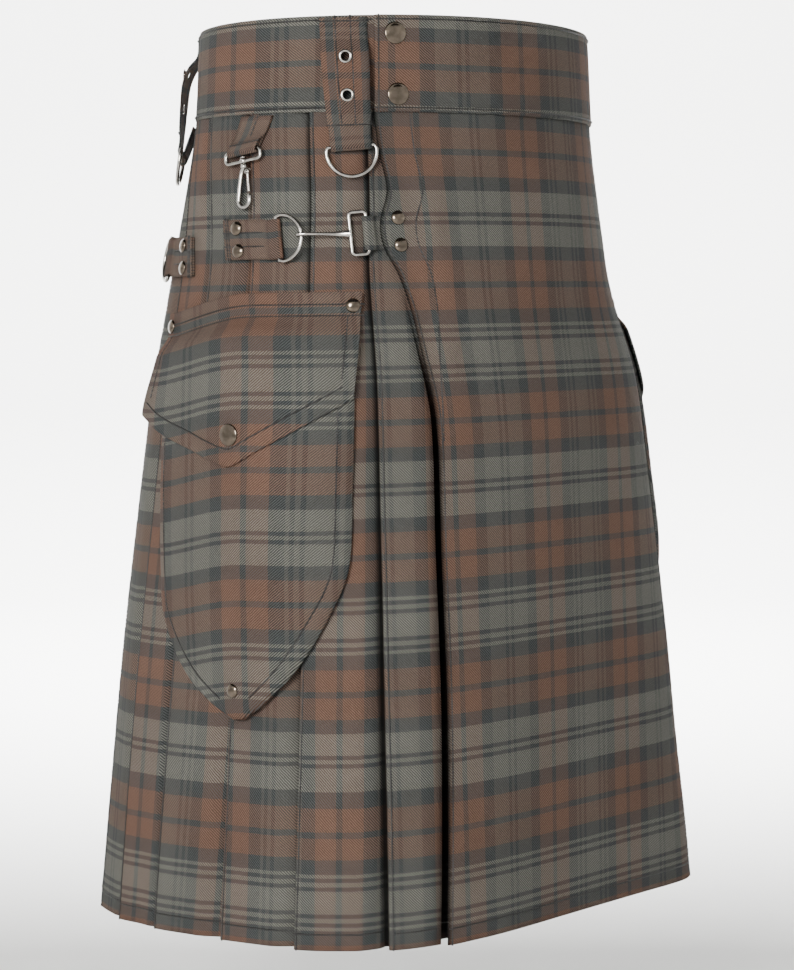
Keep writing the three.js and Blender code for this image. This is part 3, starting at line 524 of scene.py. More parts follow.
def stitchTree():
    tree = bpy.data.node_groups.new("threadRow", "GeometryNodeTree")
    addSocket(tree, "Lines", "Geometry")
    for name in ("Pitch", "Length", "Thick"):
        addSocket(tree, name, "Float", 0.001)
    addSocket(tree, "Seed", "Int", 3)
    addSocket(tree, "Thread", "Material")
    addSocket(tree, "Stitches", "Geometry", output=True)
    w = Wiring(tree)
    start, end = tree.nodes.new("NodeGroupInput"), tree.nodes.new("NodeGroupOutput")
    curve = w.add("GeometryNodeMeshToCurve", inputs={"Mesh": start.outputs["Lines"]})
    spots = w.add("GeometryNodeResampleCurve", mode="LENGTH")
    w.put(spots.inputs["Curve"], curve.outputs[0])
    w.put(spots.inputs["Length"], start.outputs["Pitch"])
    radius = w.maths("MULTIPLY", start.outputs["Thick"], 0.5)
    bar = w.add("GeometryNodeMeshCylinder",
                inputs={"Vertices": 5, "Radius": radius, "Depth": start.outputs["Length"]})
    tangent = w.add("GeometryNodeInputTangent")
    turned = w.add("FunctionNodeAlignRotationToVector", axis="Z", inputs={"Vector": tangent.outputs[0]})
    size = w.add("FunctionNodeRandomValue", data_type="FLOAT",
                 inputs={2: 0.86, 3: 1.12, "Seed": start.outputs["Seed"]})
    rows = w.add("GeometryNodeInstanceOnPoints")
    w.put(rows.inputs["Points"], spots.outputs[0])
    w.put(rows.inputs["Instance"], bar.outputs[0])
    w.put(rows.inputs["Rotation"], turned.outputs[0])
    w.put(rows.inputs["Scale"], size.outputs[1])
    real = w.add("GeometryNodeRealizeInstances", inputs={"Geometry": rows.outputs[0]})
    painted = w.add("GeometryNodeSetMaterial",
                    inputs={"Geometry": real.outputs[0], "Material": start.outputs["Thread"]})
    w.put(end.inputs[0], painted.outputs[0])
    return tree


def runTree(name, tree, mesh, values):
    # a tree's result as a plain mesh
    holder = bpy.data.objects.new(name + "Lines", mesh)
    bpy.context.scene.collection.objects.link(holder)
    node = holder.modifiers.new("tree", "NODES")
    node.node_group = tree
    sockets = {item.name: item.identifier for item in tree.interface.items_tree if item.in_out == "INPUT"}
    for key, value in values.items():
        node[sockets[key]] = value
    depsgraph = bpy.context.evaluated_depsgraph_get()
    made = bpy.data.meshes.new_from_object(holder.evaluated_get(depsgraph))
    bpy.data.objects.remove(holder)
    piece = bpy.data.objects.new(name, made)
    bpy.context.scene.collection.objects.link(piece)
    return piece


def makeStitches():
    verts, edges = [], []
    for line in stitchLines:
        first = len(verts)
        verts.extend(tuple(p) for p in line)
        edges.extend((i, i + 1) for i in range(first, len(verts) - 1))
    mesh = bpy.data.meshes.new("stitchLines")
    mesh.from_pydata(verts, edges, [])
    values = {"Pitch": stitch["pitch"] * mm, "Length": stitch["length"] * mm, "Thick": stitch["thick"] * mm}
    piece = runTree("topstitching", stitchTree(), mesh, {**values, "Seed": 3, "Thread": thread})
    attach(piece, "garment")
    print("stitches:", len(stitchLines), "rows,", len(piece.data.polygons), "faces")


# pleated skirt

pleats = {
    "wall": 0.9,
    "panelSteps": 13,
    "rowStep": 6.0,
    "hemTurn": 11.0,
    "groove": (1.2, 4.2),
    # the deep fold beside the apron's free edge: its depth, and where it starts, is deepest and ends
    "apronGap": 12.0,
    "gapEnds": (-18, -13, 2.2, 3.4),
    # shift of each fold towards the back at three levels, kick of its edge at the hem, where its
    # panel's pattern mark lies between the folds, and what part of the repeat that mark is
    "folds": table(
        ["waist", "hip", "hem", "kick", "mark", "part"],
        [
            [0, 0, 0, 1.5, 0.9, 89.5],
            [-1, -4, 9, 2.5, 0.52, 44.75],
            [3, -4, 15, 0.5, 0.18, 0.0],
            [6, -9, 22, 2.0, 0.84, 0.0],
            [6, -14, 9, 3.0, 0.59, 44.75],
            [4, -12, 2, 0.5, 0.5, 89.5],
            [2, -9, -4, 2.5, 0.5, 0.0],
            [1, -6, 3, 1.0, 0.45, 44.75],
            [0, -3, -5, 3.0, 0.55, 89.5],
            [0, -1, 2, 1.5, 0.5, 44.75],
            [0, 0, -4, 2.5, 0.4, 0.0],
            [0, 0, 5, 0.5, 0.5, 44.75],
            [0, 0, -2, 2.0, 0.6, 89.5],
            [0, 0, -6, 3.0, 0.5, 44.75],
            [0, 0, 3, 1.0, 0.5, 0.0],
            [0, 0, -2, 2.0, 0.5, 44.75],
        ],
    ),
}
foldCount = len(pleats["folds"]["waist"])


def foldAt(k, down):
    first = read(cut, "firstFold", down)
    last = girthAt(down) - read(cut, "farEdge", down)
    folds = pleats["folds"]
    toHip = smooth(seamDown, hipDown, down)
    toHem = (down - hipDown) / (hemDown - hipDown)
    upper = mix(folds["waist"][k], folds["hip"][k], toHip)
    lower = mix(folds["hip"][k], folds["hem"][k], toHem)
    return first + (last - first) * k / foldCount + np.where(down < hipDown, upper, lower)


def clothLevel(down):
    # the weave's own length down the cloth: 193 mm down is the middle of a light stripe
    return down - 193.0 - 4.7 * smooth(463, 511, down)


def drape(along, down):
    # slow waves that the hanging cloth takes lower down
    low = smooth(180, 560, down)
    wave = np.sin(along / 47 + 0.8) * 0.9 + np.sin(along / 29 + down / 160) * 0.5
    return low * wave * 1.3


def panelColumns(begin, stop, edge, down, first):
    count = pleats["panelSteps"] + 1
    share = np.linspace(0, 1, count)
    if not first:
        # closer columns at both ends of a panel
        return mix(begin, stop, mix(share, 0.5 - np.cos(np.pi * share) / 2, 0.75))
    steps = (-18, -13, -6, -1, 1.0, 2.2, 2.8, 3.4)
    close = [begin, mix(begin, edge - 18, 0.5), *(edge + s for s in steps)]
    close.extend(np.linspace(edge + 3.4, stop, count - len(close) + 1)[1:])
    return mix(mix(begin, stop, share), np.array(close), smooth(105, 145, down))


def pleatRow(down):
    # columns of one level: lengths, distances, the pattern's own lengths and painted shade for the folds
    pitch, depth = read(cut, "pitch", down), read(cut, "depth", down)
    swing = smooth(300, hemDown, down)
    far = girthAt(down) - read(cut, "farEdge", down)
    join = read(cut, "join", down)
    top = -pleats["wall"] / 2
    folds = pleats["folds"]
    alongs, outs, lengths, shades = [], [], [], []

    def put(along, out, length, shade=0.0):
        alongs.append(along)
        outs.append(out)
        lengths.append(length)
        shades.append(shade)

    before = join
    for k in range(foldCount + 1):
        lastPanel = k == foldCount
        fold = far + 22 if lastPanel else foldAt(k, down)
        kick = 0 if lastPanel else folds["kick"][k] * swing
        back = fold - depth
        previous = before if k else join
        previousFold = foldAt(k - 1, down) if k else foldAt(0, down) - 55 * mix(0.7, 1, swing)
        mark = mix(previousFold, foldAt(min(k, foldCount - 1), down), folds["mark"][min(k, foldCount - 1)])
        part = folds["part"][min(k, foldCount - 1)]
        if lastPanel:
            mark, part = far, 0.0
        begin = previous + (0 if k == 0 else 1)
        dip = 0 if k == 0 else 2 * pitch
        groove = 0 if k == 0 else mix(*pleats["groove"], smooth(230, 460, down))
        edge = read(cut, "nearEdge", down)
        rise = mix(previous, back if not lastPanel else far - 6, 0.85)
        stop = fold - 2.4 if not lastPanel else fold
        for along in panelColumns(begin, stop, edge, down, k == 0):
            share = (along - begin) / (stop - begin)
            lift = 1 - smooth(begin, rise, along)
            out = top - dip * lift + kick * smooth(mix(begin, stop, 0.35), stop, along)
            sunk = math.exp(-(((along - begin) / 2.2) ** 2)) if k else 0
            bow = math.sin(math.pi * share) * 0.5 * swing + groove * sunk
            if k == 0:
                start, deep, rising, end = (edge + reach for reach in pleats["gapEnds"])
                sunk = smooth(start, deep, along) * (1 - smooth(rising, end, along))
                sunk = sunk * smooth(140, 260, down)
                bow += pleats["apronGap"] * sunk
            # the last value is painted shade, darkest where the cloth dips under a fold and in the gap by the
            # apron's edge
            put(along, out - bow, part + along - mark, sunk)
        if lastPanel:
            break
        radius = pitch / 2
        for i in range(5):
            turn = math.pi * (0.5 - i / 4)
            # painted shade on the fold's far side and underside, and on the layer folded back beneath it
            put(fold - radius + math.cos(turn) * radius, top + kick - radius + math.sin(turn) * radius,
                part + fold - mark + i * radius * 0.7, (0.0, 0.15, 0.6, 1.0, 1.0)[i])
        edge = part + fold - mark + 3 * radius
        put(back + radius + 4, top - pitch, edge + depth - 4, 0.6)
        for i in range(3):
            turn = math.pi * (0.5 + i / 2)
            inner = back + radius + math.cos(turn) * radius
            put(inner, top - 1.5 * pitch + math.sin(turn) * radius, edge + depth + i)
        put(mix(back, fold, 0.6), top - 2 * pitch, edge + depth + 15)
        before = fold
    return np.array(alongs), np.array(outs), np.array(lengths), np.array(shades)


def makePleats():
    first, last = seamDown - 2.0, hemDown
    downs = np.linspace(first, last, int((last - first) / pleats["rowStep"]) + 1)
    points, uvs, shades = [], [], []
    for down in downs:
        along, out, length, shade = pleatRow(down)
        shades.append(shade)
        points.append(place(along, down, out + drape(along, down)))
        uvs.append(np.stack([length, np.full_like(length, clothLevel(down))], 1))
    points, uvs = np.array(points), np.array(uvs)
    piece = clothSheet("pleatedSkirt", points, uvs, pleats["wall"], clothDown, np.array(shades))
    # edge stitching on each fold and the turned hem's line
    for k in range(foldCount):
        run = np.linspace(first + 1, last - 1, 180)
        line = []
        for down in run:
            kick = pleats["folds"]["kick"][k] * smooth(300, hemDown, down)
            along = foldAt(k, down) - 2.2
            line.append(place(along, down, kick + stitch["rise"] + drape(along, down)))
        sew(np.array(line))
    hemLevel = last - pleats["hemTurn"]
    along, out = pleatRow(hemLevel)[:2]
    perPleat = pleats["panelSteps"] + 1 + 5 + 1 + 3 + 1
    for k in range(foldCount + 1):
        a = along[k * perPleat : k * perPleat + pleats["panelSteps"] + 1]
        o = out[k * perPleat : k * perPleat + pleats["panelSteps"] + 1]
        fine = np.linspace(a[0] + 3, a[-1], 24)
        face = np.interp(fine, a, o) + pleats["wall"] / 2 + stitch["rise"]
        sew(place(fine, hemLevel, face + drape(fine, hemLevel)))
    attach(piece, "garment")
    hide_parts("pleats_right_front", "pleats_right_back", "pleats_left_back", "pleats_left_front")


makePleats()


# outer and under apron

apron = {"wall": 1.0, "rowStep": 5.0, "columns": 84, "underWall": 0.9, "hemTurn": 11.0, "edgeSeam": 2.4}


def apronGap(along, down):
    fromEdge = read(cut, "nearEdge", down) - along
    lift = read(cut, "edgeLift", down) * (1 - smooth(18, 62, fromEdge))
    return read(cut, "apronOut", down) + lift


def trough(along, down, start, end, width, depth):
    # a soft uneven crease from one point of the cloth to another
    (a0, d0), (a1, d1) = start, end
    ta, td = a1 - a0, d1 - d0
    size = math.hypot(ta, td)
    t = ((along - a0) * ta + (down - d0) * td) / size**2
    side = ((along - a0) * td - (down - d0) * ta) / size
    fade = smooth(0, 0.25, t) * (1 - smooth(0.55, 1.0, t))
    return -depth * fade * np.exp(-((side / width) ** 2)) * (1 + 0.25 * np.sin(t * 9))


def apronOut(along, down):
    fromEdge = read(cut, "nearEdge", down) - along
    out = apronGap(along, down) + 0.6 + drape(along, down) * 0.8
    out = out + 1.4 * (1 - smooth(0, 26, fromEdge)) * smooth(160, 300, down)
    out = out + trough(along, down, (112, 40), (104, 240), 8, 1.4)
    out = out + trough(along, down, (112, 118), (50, 260), 14, 1.6)
    out = out + trough(along, down, (92, 60), (84, 330), 12, -1.5)
    out = out + trough(along, down, (-40, 80), (-70, 420), 22, 1.2)
    return out


def apronPattern(along, down):
    # the middle of a brown pair lies a little off the front centre
    return along - mix(10.5, 4.5, smooth(150, 260, down)) + brownMiddle


def makeAprons():
    first, last = seamDown - 2.0, hemDown
    downs = np.linspace(first, last, int((last - first) / apron["rowStep"]) + 1)
    share = np.linspace(0, 1, apron["columns"])
    near, far = read(cut, "nearEdge", downs), -read(cut, "farEdge", downs)
    along = mix(near[:, None], far[:, None], share[None, :])
    level = np.broadcast_to(downs[:, None], along.shape)
    points = place(along, level, apronOut(along, level))
    uvs = np.stack([apronPattern(along, level), clothLevel(level)], -1)
    # the free edge is turned under, and the sheet starts with that facing
    turned = []
    for inset, under in ((19, 1.35), (9, 1.35), (1.2, 1.35), (0.3, 1.05), (-0.1, 0.55)):
        spot = near - inset
        inside = place(spot, downs, apronOut(spot, downs) - under)
        turned.append((inside, apronPattern(2 * near - spot, downs)))
    points = np.concatenate([np.stack([p for p, _ in turned], 1), points], 1)
    facing = np.stack([np.stack([u, clothLevel(downs)], -1) for _, u in turned], 1)
    uvs = np.concatenate([facing, uvs], 1)
    # painted shade along the turned edge: a dark line where the apron's edge stands over the pleats
    shade = np.zeros(points.shape[:2])
    shade[:, :7] = (0, 0.2, 0.8, 1.0, 1.0, 0.9, 0.0)
    piece = clothSheet("outerApron", points, uvs, apron["wall"], clothDown, shade)
    face = apron["wall"] / 2 + stitch["rise"]
    run = np.linspace(first + 1, last - 1, 190)

    def edgeLine(along, runDown):
        return place(along, runDown, apronOut(along, runDown) + face)

    sew(edgeLine(read(cut, "nearEdge", run) - apron["edgeSeam"], run))
    sew(edgeLine(-read(cut, "farEdge", run) + apron["edgeSeam"], run))
    inner = np.linspace(first + 1, 250, 80)
    step = mix(24, 3.5, smooth(120, 250, inner))
    sew(edgeLine(read(cut, "nearEdge", inner) - step, inner))
    hem = np.linspace(read(cut, "nearEdge", last) - 2, -read(cut, "farEdge", last) + 2, 140)
    sew(edgeLine(hem, last - apron["hemTurn"]))
    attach(piece, "garment")
    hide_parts("outer_apron")

    right, left = read(cut, "join", downs) - 0.4, -read(cut, "farEdge", downs) - 14
    along = mix(right[:, None], left[:, None], share[None, ::2])
    level = np.broadcast_to(downs[:, None], along.shape)
    out = -apron["underWall"] / 2 - 3.2 * smooth(2, 48, right[:, None] - along) + drape(along, level) * 0.8
    points = place(along, level, out)
    uvs = np.stack([apronPattern(along, level), clothLevel(level)], -1)
    piece = clothSheet("underApron", points, uvs, apron["underWall"], clothDown)
    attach(piece, "garment")
    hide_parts("under_apron")


makeAprons()


# waistband: one strip that runs once round and on under its own start

band = {"wall": 2.8, "face": 0.8, "lift": 3.3, "top": -32.5, "underEnd": 112.0, "edgeSeam": 3.0,
        "knots": (-780.0, -664.4, -95.8, 128.0), "stripes": (-589.4, -492.2, -44.7, 143.4)}


def bandOut(along):
    return band["face"] + band["lift"] * (1 - smooth(136, 250, -along))


def makeWaistband():
    girth = float(girthAt(seamDown))
    start = float(read(cut, "nearEdge", seamDown))
    travel = start + girth + band["underEnd"]
    count = int(travel / 4)
    rows = 13
    along = start - travel * np.arange(count + 1) / count
    downs = np.linspace(band["top"], seamDown, rows)
    stretch = girthAt(downs) / girth
    grid = along[None, :] * stretch[:, None]
    level = np.broadcast_to(downs[:, None], grid.shape)
    # the strip is plump in the middle and drawn in along its seams
    share = (downs - band["top"]) / (seamDown - band["top"])
    plump = 0.5 * np.sin(math.pi * share) ** 0.5
    out = bandOut(along)[None, :] - band["wall"] / 2 + plump[:, None] - 0.25
    points = place(grid, level, np.broadcast_to(out, grid.shape))
    # cut with its length along the weft way: the stripes across it are stretched to meet at the back
    stripes = np.interp(along, band["knots"], band["stripes"])
    tilt = 3.2 * np.exp(-(((along - 60) / 110) ** 2))
    uvs = np.stack([np.broadcast_to(stripes, grid.shape), brownMiddle - level + tilt[None, :]], -1)
    piece = clothSheet("waistbandCloth", points, uvs, band["wall"], clothUp)
    soften = piece.modifiers.new("edge", "BEVEL")
    soften.width, soften.segments, soften.limit_method = 0.0009, 2, "ANGLE"
    shown = np.linspace(start - 1.5, start - girth + 2, 420)
    for down in (band["top"] + band["edgeSeam"], seamDown - band["edgeSeam"]):
        ratio = girthAt(down) / girth
        sew(place(shown * ratio, down, bandOut(shown) + 0.25))
    rise = np.linspace(band["top"] + 1, seamDown - 1, 24)
    sew(place((start - 2.5) * girthAt(rise) / girth, rise, band["face"] + band["lift"] + 0.25))
    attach(piece, "garment")
    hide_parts("waistband")


makeWaistband()


# folded strips: belt loops, tabs and straps

wire = {"radius": 1.35, "room": 0.35}
strap = {"wall": 1.0}
foldRadius = wire["radius"] + wire["room"] + 0.6  # the middle of a strap that is folded round a wire


def arc(cx, cy, radius, start, end, steps):
    turn = np.linspace(start, end, steps + 1)
    return [(cx + math.cos(t) * radius, cy + math.sin(t) * radius) for t in turn]


def rounded(line, step=1.6):
    # the line through its points, eased with a Catmull-Rom curve and cut to even steps
    p = np.array(line, float)
    ends = np.concatenate([[2 * p[0] - p[1]], p, [2 * p[-1] - p[-2]]])
    made = []
    for i in range(1, len(ends) - 2):
        a, b, c, d = ends[i - 1 : i + 3]
        steps = max(2, int(math.dist(b, c) / step))
        for t in np.arange(steps) / steps:
            bend, twist = 2 * a - 5 * b + 4 * c - d, 3 * b - a - 3 * c + d
            made.append(0.5 * (2 * b + (c - a) * t + bend * t**2 + twist * t**3))
    made.append(p[-1])
    return np.array(made)


def flatPoint(along, aside, down, out, flat):
    # curved round the form where flat is 0, and straight across where it is 1
    curved = place(along + aside, down, out)
    axes = axesAt(along, down, out)
    straight = apply(axes, [[-aside, 0, 0]])[0]
    return mix(curved, straight, flat)


def stripPiece(name, line, halfWidth, toPoint, nodes, pattern, material, columns=9, holes=()):
    path = rounded(line)
    length = np.concatenate([[0], np.cumsum(np.linalg.norm(np.diff(path, axis=0), axis=1))])
    asides = np.linspace(-halfWidth, halfWidth, columns)
    points = np.array([[toPoint(x, out, a) for a in asides] for x, out in path])
    uvs = np.array([[pattern(s, a) for a in asides] for s in length])
    piece = addMesh(name, points, gridFaces(*points.shape[:2]), uvs * 0.01, material)
    wall = piece.modifiers.new("wall", "SOLIDIFY")
    wall.thickness, wall.offset = strap["wall"] * mm, 0.0
    piece.data.flip_normals()
    for cutter in holes:
        carve = piece.modifiers.new("hole", "BOOLEAN")
        carve.object, carve.solver = cutter, "EXACT"
    if holes:
        settle(piece)
        for cutter in holes:
            bpy.data.objects.remove(cutter)
    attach(piece, "garment")
    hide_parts(*nodes)


def settle(piece):
    # the piece as its modifiers show it
    depsgraph = bpy.context.evaluated_depsgraph_get()
    made = bpy.data.meshes.new_from_object(piece.evaluated_get(depsgraph))
    piece.modifiers.clear()
    piece.data = made


# wire and other metal


def tube(points, radii, closed=False, sides=14):
    # rings of points round a path, with frames carried along it
    p = np.asarray(points, float)
    count = len(p)
    radii = np.broadcast_to(np.asarray(radii, float), (count,))
    if closed:
        ahead = np.roll(p, -1, 0) - np.roll(p, 1, 0)
    else:
        ahead = np.gradient(p, axis=0)
    ahead /= np.linalg.norm(ahead, axis=1, keepdims=True)
    seed = np.array([0, 0, 1.0]) if abs(ahead[0][2]) < 0.9 else np.array([0, 1.0, 0])
    side = np.cross(ahead[0], seed)
    side /= np.linalg.norm(side)
    rings = []
    for i in range(count):
        side = side - ahead[i] * side.dot(ahead[i])
        side /= np.linalg.norm(side)
        other = np.cross(ahead[i], side)
        turn = np.arange(sides) / sides * 2 * np.pi
        rings.append(p[i] + (np.cos(turn)[:, None] * side + np.sin(turn)[:, None] * other) * radii[i])
    verts = np.array(rings).reshape(-1, 3)
    faces = []
    for i in range(count if closed else count - 1):
        j = (i + 1) % count
        for k in range(sides):
            m = (k + 1) % sides
            faces.append((i * sides + k, i * sides + m, j * sides + m, j * sides + k))
    if not closed:
        faces.append(tuple(reversed(range(sides))))
        faces.append(tuple((count - 1) * sides + k for k in range(sides)))
    return verts, faces


def joinParts(parts):
    verts, faces = [], []
    for points, shapes in parts:
        first = sum(len(v) for v in verts)
        verts.append(np.asarray(points))
        faces.extend(tuple(first + i for i in face) for face in shapes)
    return np.concatenate(verts), faces


def lathe(profile, sides=28):
    # profile of (radius, height) pairs, turned about z
    verts, faces = [], []
    for radius, height in profile:
        for k in range(sides):
            turn = 2 * math.pi * k / sides
            verts.append((radius * math.cos(turn), radius * math.sin(turn), height))
    rows = len(profile)
    for r in range(rows - 1):
        for k in range(sides):
            m = (k + 1) % sides
            faces.append((r * sides + k, r * sides + m, (r + 1) * sides + m, (r + 1) * sides + k))
    faces.append(tuple(reversed(range(sides))))
    faces.append(tuple((rows - 1) * sides + k for k in range(sides)))
    return np.array(verts), faces


def latheRing(profile, sides):
    # the same with a bore: the last row is joined to the first, and no end is closed
    verts, faces = lathe(profile, sides)
    last = (len(profile) - 1) * sides
    inner = [((k + 1) % sides, k, last + k, last + (k + 1) % sides) for k in range(sides)]
    return verts, faces[:-2] + inner


def turnOutwards(mesh):
    work = bmesh.new()
    work.from_mesh(mesh)
    bmesh.ops.recalc_face_normals(work, faces=work.faces)
    work.to_mesh(mesh)
    work.free()


def metalPiece(name, parts, matrix, nodes, body):
    verts, faces = joinParts(parts)
    piece = addMesh(name, apply(matrix, verts), faces, material=nickel)
    turnOutwards(piece.data)
    piece.data.set_sharp_from_angle(angle=math.radians(50))
    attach(piece, body)
    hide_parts(*nodes)


def ringPath(length, bulge):
    half = length / 2
    turn = np.linspace(-math.pi / 2, math.pi / 2, 33)
    bow = [(3 + math.cos(t) * (bulge - 3), math.sin(t) * half, 0) for t in turn]
    bar = [(0, y, 0) for y in np.linspace(half - 1, 1 - half, 9)]
    return np.array(bow + bar)


def turnedZ(matrix, angle):
    turn = np.eye(4)
    turn[0, 0] = turn[1, 1] = math.cos(angle)
    turn[1, 0], turn[0, 1] = math.sin(angle), -math.sin(angle)
    return matrix @ turn


def turnedY(matrix, angle):
    turn = np.eye(4)
    turn[0, 0] = turn[2, 2] = math.cos(angle)
    turn[0, 2], turn[2, 0] = math.sin(angle), -math.sin(angle)
    return matrix @ turn


# belt loops

loops = {
    "halfWidth": 15.6,
    "taper": 0.87,
    "foot": 56.0,
    "ring": (33.6, 20.0),
    "eyelets": (-4.0, 22.0),
    "hole": 3.2,
    # name: along, stand-off, how far the bar lies out
    "places": {
        "right_front": (145.5, 8.2, 4.6),
        "right_back": (324.0, 11.5, 7.4),
        "left_back": (-324.0, 11.5, 7.4),
        "left_front": (-188.0, 8.2, 4.6),
    },
}


def loopLine(standOff, barOut):
    gap = 0.3 + 0.6
    backOut = 1.1
    return [
        (-31, gap),
        (-17, gap + 0.3),
        (-8, mix(gap, standOff, 0.6)),
        (4, mix(gap, standOff, 0.95)),
        (20, standOff),
        (36, mix(standOff, barOut + foldRadius, 0.45)),
        (48, barOut + foldRadius - 0.3),
        *arc(loops["foot"], barOut, foldRadius, math.pi * 0.45, -math.pi * 0.45, 8),
        (47, mix(barOut - foldRadius, backOut, 0.55)),
        (seamDown + 3, backOut),
    ]


eyeletSpots = []


def makeLoop(name):
    along, standOff, barOut = loops["places"][name]
    base = band["face"] if along > 0 else float(bandOut(along)) + 0.2

    def toPoint(down, out, aside):
        lift = base * (1 - smooth(seamDown, loops["foot"], down))
        beside = aside * mix(1, loops["taper"], smooth(-28, loops["foot"], down))
        return flatPoint(along, beside, down, out + lift, smooth(seamDown, loops["foot"] - 6, down))

    cutters = []
    for down in loops["eyelets"]:
        axes = axesAt(along, down, base + standOff)
        verts, faces = lathe([(loops["hole"], -4), (loops["hole"], 4)], 24)
        cutters.append(addMesh("cutter", apply(axes, verts), faces))
        eyeletSpots.append(axes)
    stripPiece(
        "beltLoop_" + name, loopLine(standOff, barOut), loops["halfWidth"], toPoint,
        ["belt_loop_" + name], lambda s, a: (s + 3.75, brownMiddle + (a - 9) / 1.19), clothUp, holes=cutters,
    )
    line = rounded(loopLine(standOff, barOut))
    front = line[: int(len(line) * 0.55)]
    face = strap["wall"] / 2 + stitch["rise"]
    for aside in (-4.6, 5.4):
        sew([toPoint(x, out + face, aside) for x, out in front])
    out = mix(standOff, barOut + foldRadius, 0.75)
    for down, depth in ((-28.5, 0.9), (42.0, out)):
        sew([toPoint(down, depth + face, a) for a in np.linspace(-15.5, 15.5, 12)])
    hang = turnedZ(axesAt(along, loops["foot"], barOut), -math.pi / 2)
    path = ringPath(*loops["ring"])
    metalPiece("loopRing_" + name, [tube(path, wire["radius"], True)], hang,
               ["loop_ring_" + name], "loop_ring_" + name)


for loopName in loops["places"]:
    makeLoop(loopName)
print("belt loops ready")


# hip and back tabs

tabs = {
    "halfWidth": 13.3,
    "length": 43.0,
    "topOut": 2.7,
    "underOut": 1.15,
    "barOut": 4.4,
    "rise": 12.0,
    "rivetFrom": 31.0,
    "rivetSpread": 15.0,
    "ring": (31.0, 17.5),
    "tilt": 0.09,
    "places": {"hip": (199.0, 116.0, 1), "back": (322.0, 126.0, -1)},
}
rivetSpots = []
snapSpots = []


def foldLine(length, topOut, underOut, barOut, rise):
    return [
        (-length, topOut),
        (-rise, topOut),
        (-rise * 0.45, mix(topOut, barOut + foldRadius, 0.75)),
        *arc(0, barOut, foldRadius, math.pi * 0.45, -math.pi * 0.45, 8),
        (-rise * 0.45, mix(underOut, barOut - foldRadius, 0.5)),
        (-rise, underOut),
        (-length, underOut),
    ]


def makeTab(name):
    along, down, facing = tabs["places"][name]
    line = foldLine(tabs["length"], tabs["topOut"], tabs["underOut"], tabs["barOut"], tabs["rise"])

    def toPoint(x, out, aside):
        curved = place(along - facing * x, down + aside, out)
        straight = apply(axesAt(along, down, out), [[facing * x, -aside, 0]])[0]
        return mix(curved, straight, smooth(-tabs["rise"], -4, x))

    stripPiece(name + "Tab", line, tabs["halfWidth"], toPoint, [name + "_tab"],
               lambda s, a: (72 + s, brownMiddle + a + 3.2), clothUp)
    face = tabs["topOut"] + strap["wall"] / 2 + stitch["rise"]
    for aside in (-4.6, 4.6):
        sew([toPoint(x, face, aside) for x in np.linspace(-42, -12, 16)])
    for x in (-40.5, -38.5):
        sew([toPoint(x, face, a) for a in np.linspace(-13, 13, 12)])
    for step in (-0.5, 0.5):
        level = down + step * tabs["rivetSpread"]
        rivetSpots.append(axesAt(along + facing * tabs["rivetFrom"], level, tabs["topOut"] + 0.6 + 0.3))
    hold = turnedY(axesAt(along, down, tabs["barOut"]), -facing * tabs["tilt"])
    hold = turnedZ(hold, 0 if facing > 0 else math.pi)
    body = "garment" if name == "hip" else "back_ring"
    ring = tube(ringPath(*tabs["ring"]), wire["radius"], True)
    metalPiece(name + "Ring", [ring], hold, [name + "_ring"], body)
    return hold


hipRingAxes = makeTab("hip")
makeTab("back")
print("tabs ready")


# hip fastening: a strap out of the apron's edge, an eye and the hook on its shank

hip = {
    "strap": {"length": 32.0, "topOut": 2.45, "underOut": 1.0, "barOut": 4.6, "rise": 8.5},
    "along": 140.5,
    "down": 113.0,
    "halfWidth": 11.1,
    "eye": (5.6, 14.2, 2.6),
    "curl": 2.8,
    "thin": 1.2,
    "thick": 2.7,
    "rivetFrom": 21.0,
    "rivetSpread": 18.0,
}


def eyePath(halfWidth, halfHeight, corner):
    path = []
    for k, (sx, sy) in enumerate(((1, 1), (-1, 1), (-1, -1), (1, -1))):
        quarter = k * math.pi / 2
        centre = (sx * (halfWidth - corner), sy * (halfHeight - corner))
        path += arc(*centre, corner, quarter, (k + 1) * math.pi / 2, 8)
    return np.array([(x, y, 0) for x, y in path])


